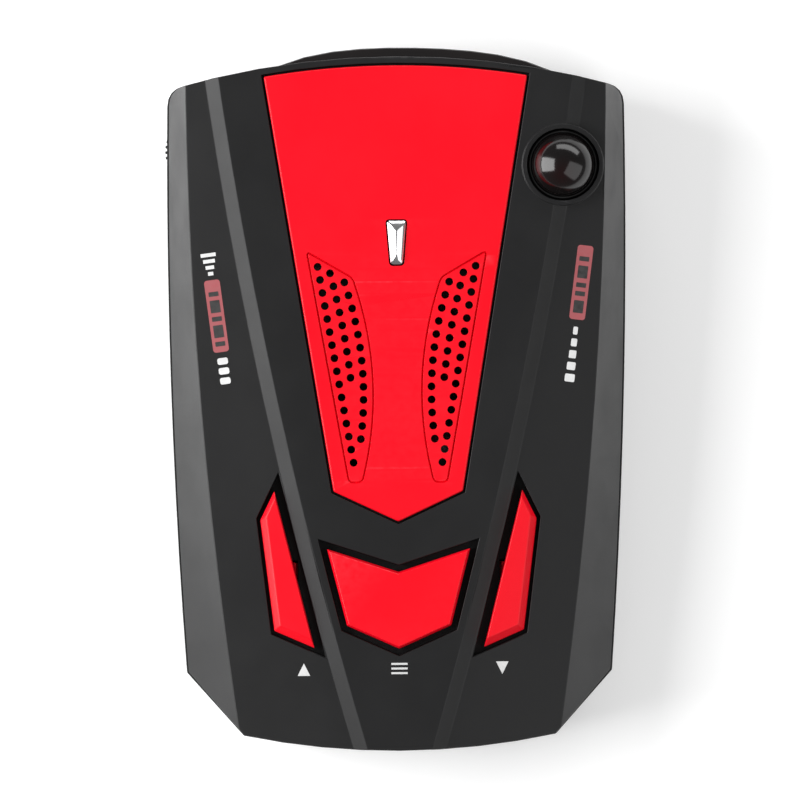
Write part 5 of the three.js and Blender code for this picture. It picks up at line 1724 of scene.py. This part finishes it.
@dataclass(frozen=True)
class Softbox:
    """A rectangular studio light, aimed at the case."""

    name: str
    place: tuple[float, float, float]
    size: tuple[float, float]
    power: float

    def build(self) -> None:
        """Hangs the light, aimed at the case."""
        light = bpy.data.lights.new(self.name, "AREA")
        light.shape = "RECTANGLE"
        light.size, light.size_y = self.size
        light.energy = self.power
        holder = bpy.data.objects.new(self.name, light)
        holder.location = self.place
        aim = Vector((0.0, 0.0, 0.02)) - Vector(self.place)
        holder.rotation_euler = aim.to_track_quat("-Z", "Y").to_euler()
        bpy.context.scene.collection.objects.link(holder)


@dataclass
class Studio:
    """The pale table, the lights and the camera above the case."""

    camera_height: float = 3.0
    subject_height: float = 0.012
    view_width: float = 121.8 * MM
    roll: float = -0.4
    sensor: float = 36.0
    camera_x: float = 0.36 * MM
    table_white: float = 0.96
    table_glow: float = 0.18
    surrounding: float = 0.2

    def build(self) -> None:
        """Sets up the studio."""
        put_down()
        bpy.ops.mesh.primitive_plane_add(size=3.0)
        table = on_bench()
        table.name = "table"
        table.data.materials.append(self.table_finish())
        for box in (
            Softbox("left_softbox", (-0.48, 0.03, 0.31), (0.46, 0.6), 5.9),
            Softbox("right_softbox", (0.36, -0.18, 0.4), (0.55, 0.6), 1.5),
            Softbox("front_softbox", (0.2, 0.6, 0.26), (0.9, 0.24), 2.6),
        ):
            box.build()
        world = bpy.data.worlds.new("studio")
        bpy.context.scene.world = world
        world.use_nodes = True
        world.node_tree.nodes["Background"].inputs["Color"].default_value = (1, 1, 1, 1)
        world.node_tree.nodes["Background"].inputs["Strength"].default_value = self.surrounding
        bpy.context.scene.view_settings.view_transform = "Standard"
        self.camera()

    def table_finish(self) -> bpy.types.Material:
        """The pale table, lit a little from below and clear when seen from there."""
        material = bpy.data.materials.new("Pale table")
        material.use_nodes = True
        shader = next(n for n in material.node_tree.nodes if n.type == "BSDF_PRINCIPLED")
        shader.inputs["Base Color"].default_value = (*(self.table_white,) * 3, 1.0)
        shader.inputs["Roughness"].default_value = 0.9
        shader.inputs["Specular IOR Level"].default_value = 0.1
        shader.inputs["Emission Color"].default_value = (1.0, 1.0, 1.0, 1.0)
        shader.inputs["Emission Strength"].default_value = self.table_glow
        side = material.node_tree.nodes.new("ShaderNodeNewGeometry")
        upper = material.node_tree.nodes.new("ShaderNodeMath")
        upper.operation = "SUBTRACT"
        upper.inputs[0].default_value = 1.0
        material.node_tree.links.new(side.outputs["Backfacing"], upper.inputs[1])
        material.node_tree.links.new(upper.outputs[0], shader.inputs["Alpha"])
        return material

    def camera(self) -> None:
        """Sets the camera straight above the case."""
        data = bpy.data.cameras.new("camera")
        data.sensor_width = self.sensor
        distance = self.camera_height - self.subject_height
        data.lens = self.sensor * distance / self.view_width
        holder = bpy.data.objects.new("camera", data)
        holder.location = (self.camera_x, 0.0, self.camera_height)
        holder.rotation_euler = (0.0, 0.0, math.radians(self.roll))
        bpy.context.scene.collection.objects.link(holder)
        bpy.context.scene.camera = holder


# ------------------------------------------------------------------ build


def main() -> None:
    """Builds the detector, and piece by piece."""
    logging.basicConfig(level=logging.INFO, format="%(message)s")
    palette = Palette(Effects())
    shape = CaseShape()
    Inside(palette).build()
    for assembly in (
        Case(palette),
        SpeakerPanel(palette, shape),
        Keys(palette),
        Dome(palette),
        Thumbwheel(palette),
        Underside(palette),
        PowerInlet(palette),
        Marks(palette, shape),
        Studio(),
    ):
        assembly.build()


if __name__ == "__main__":
    main()
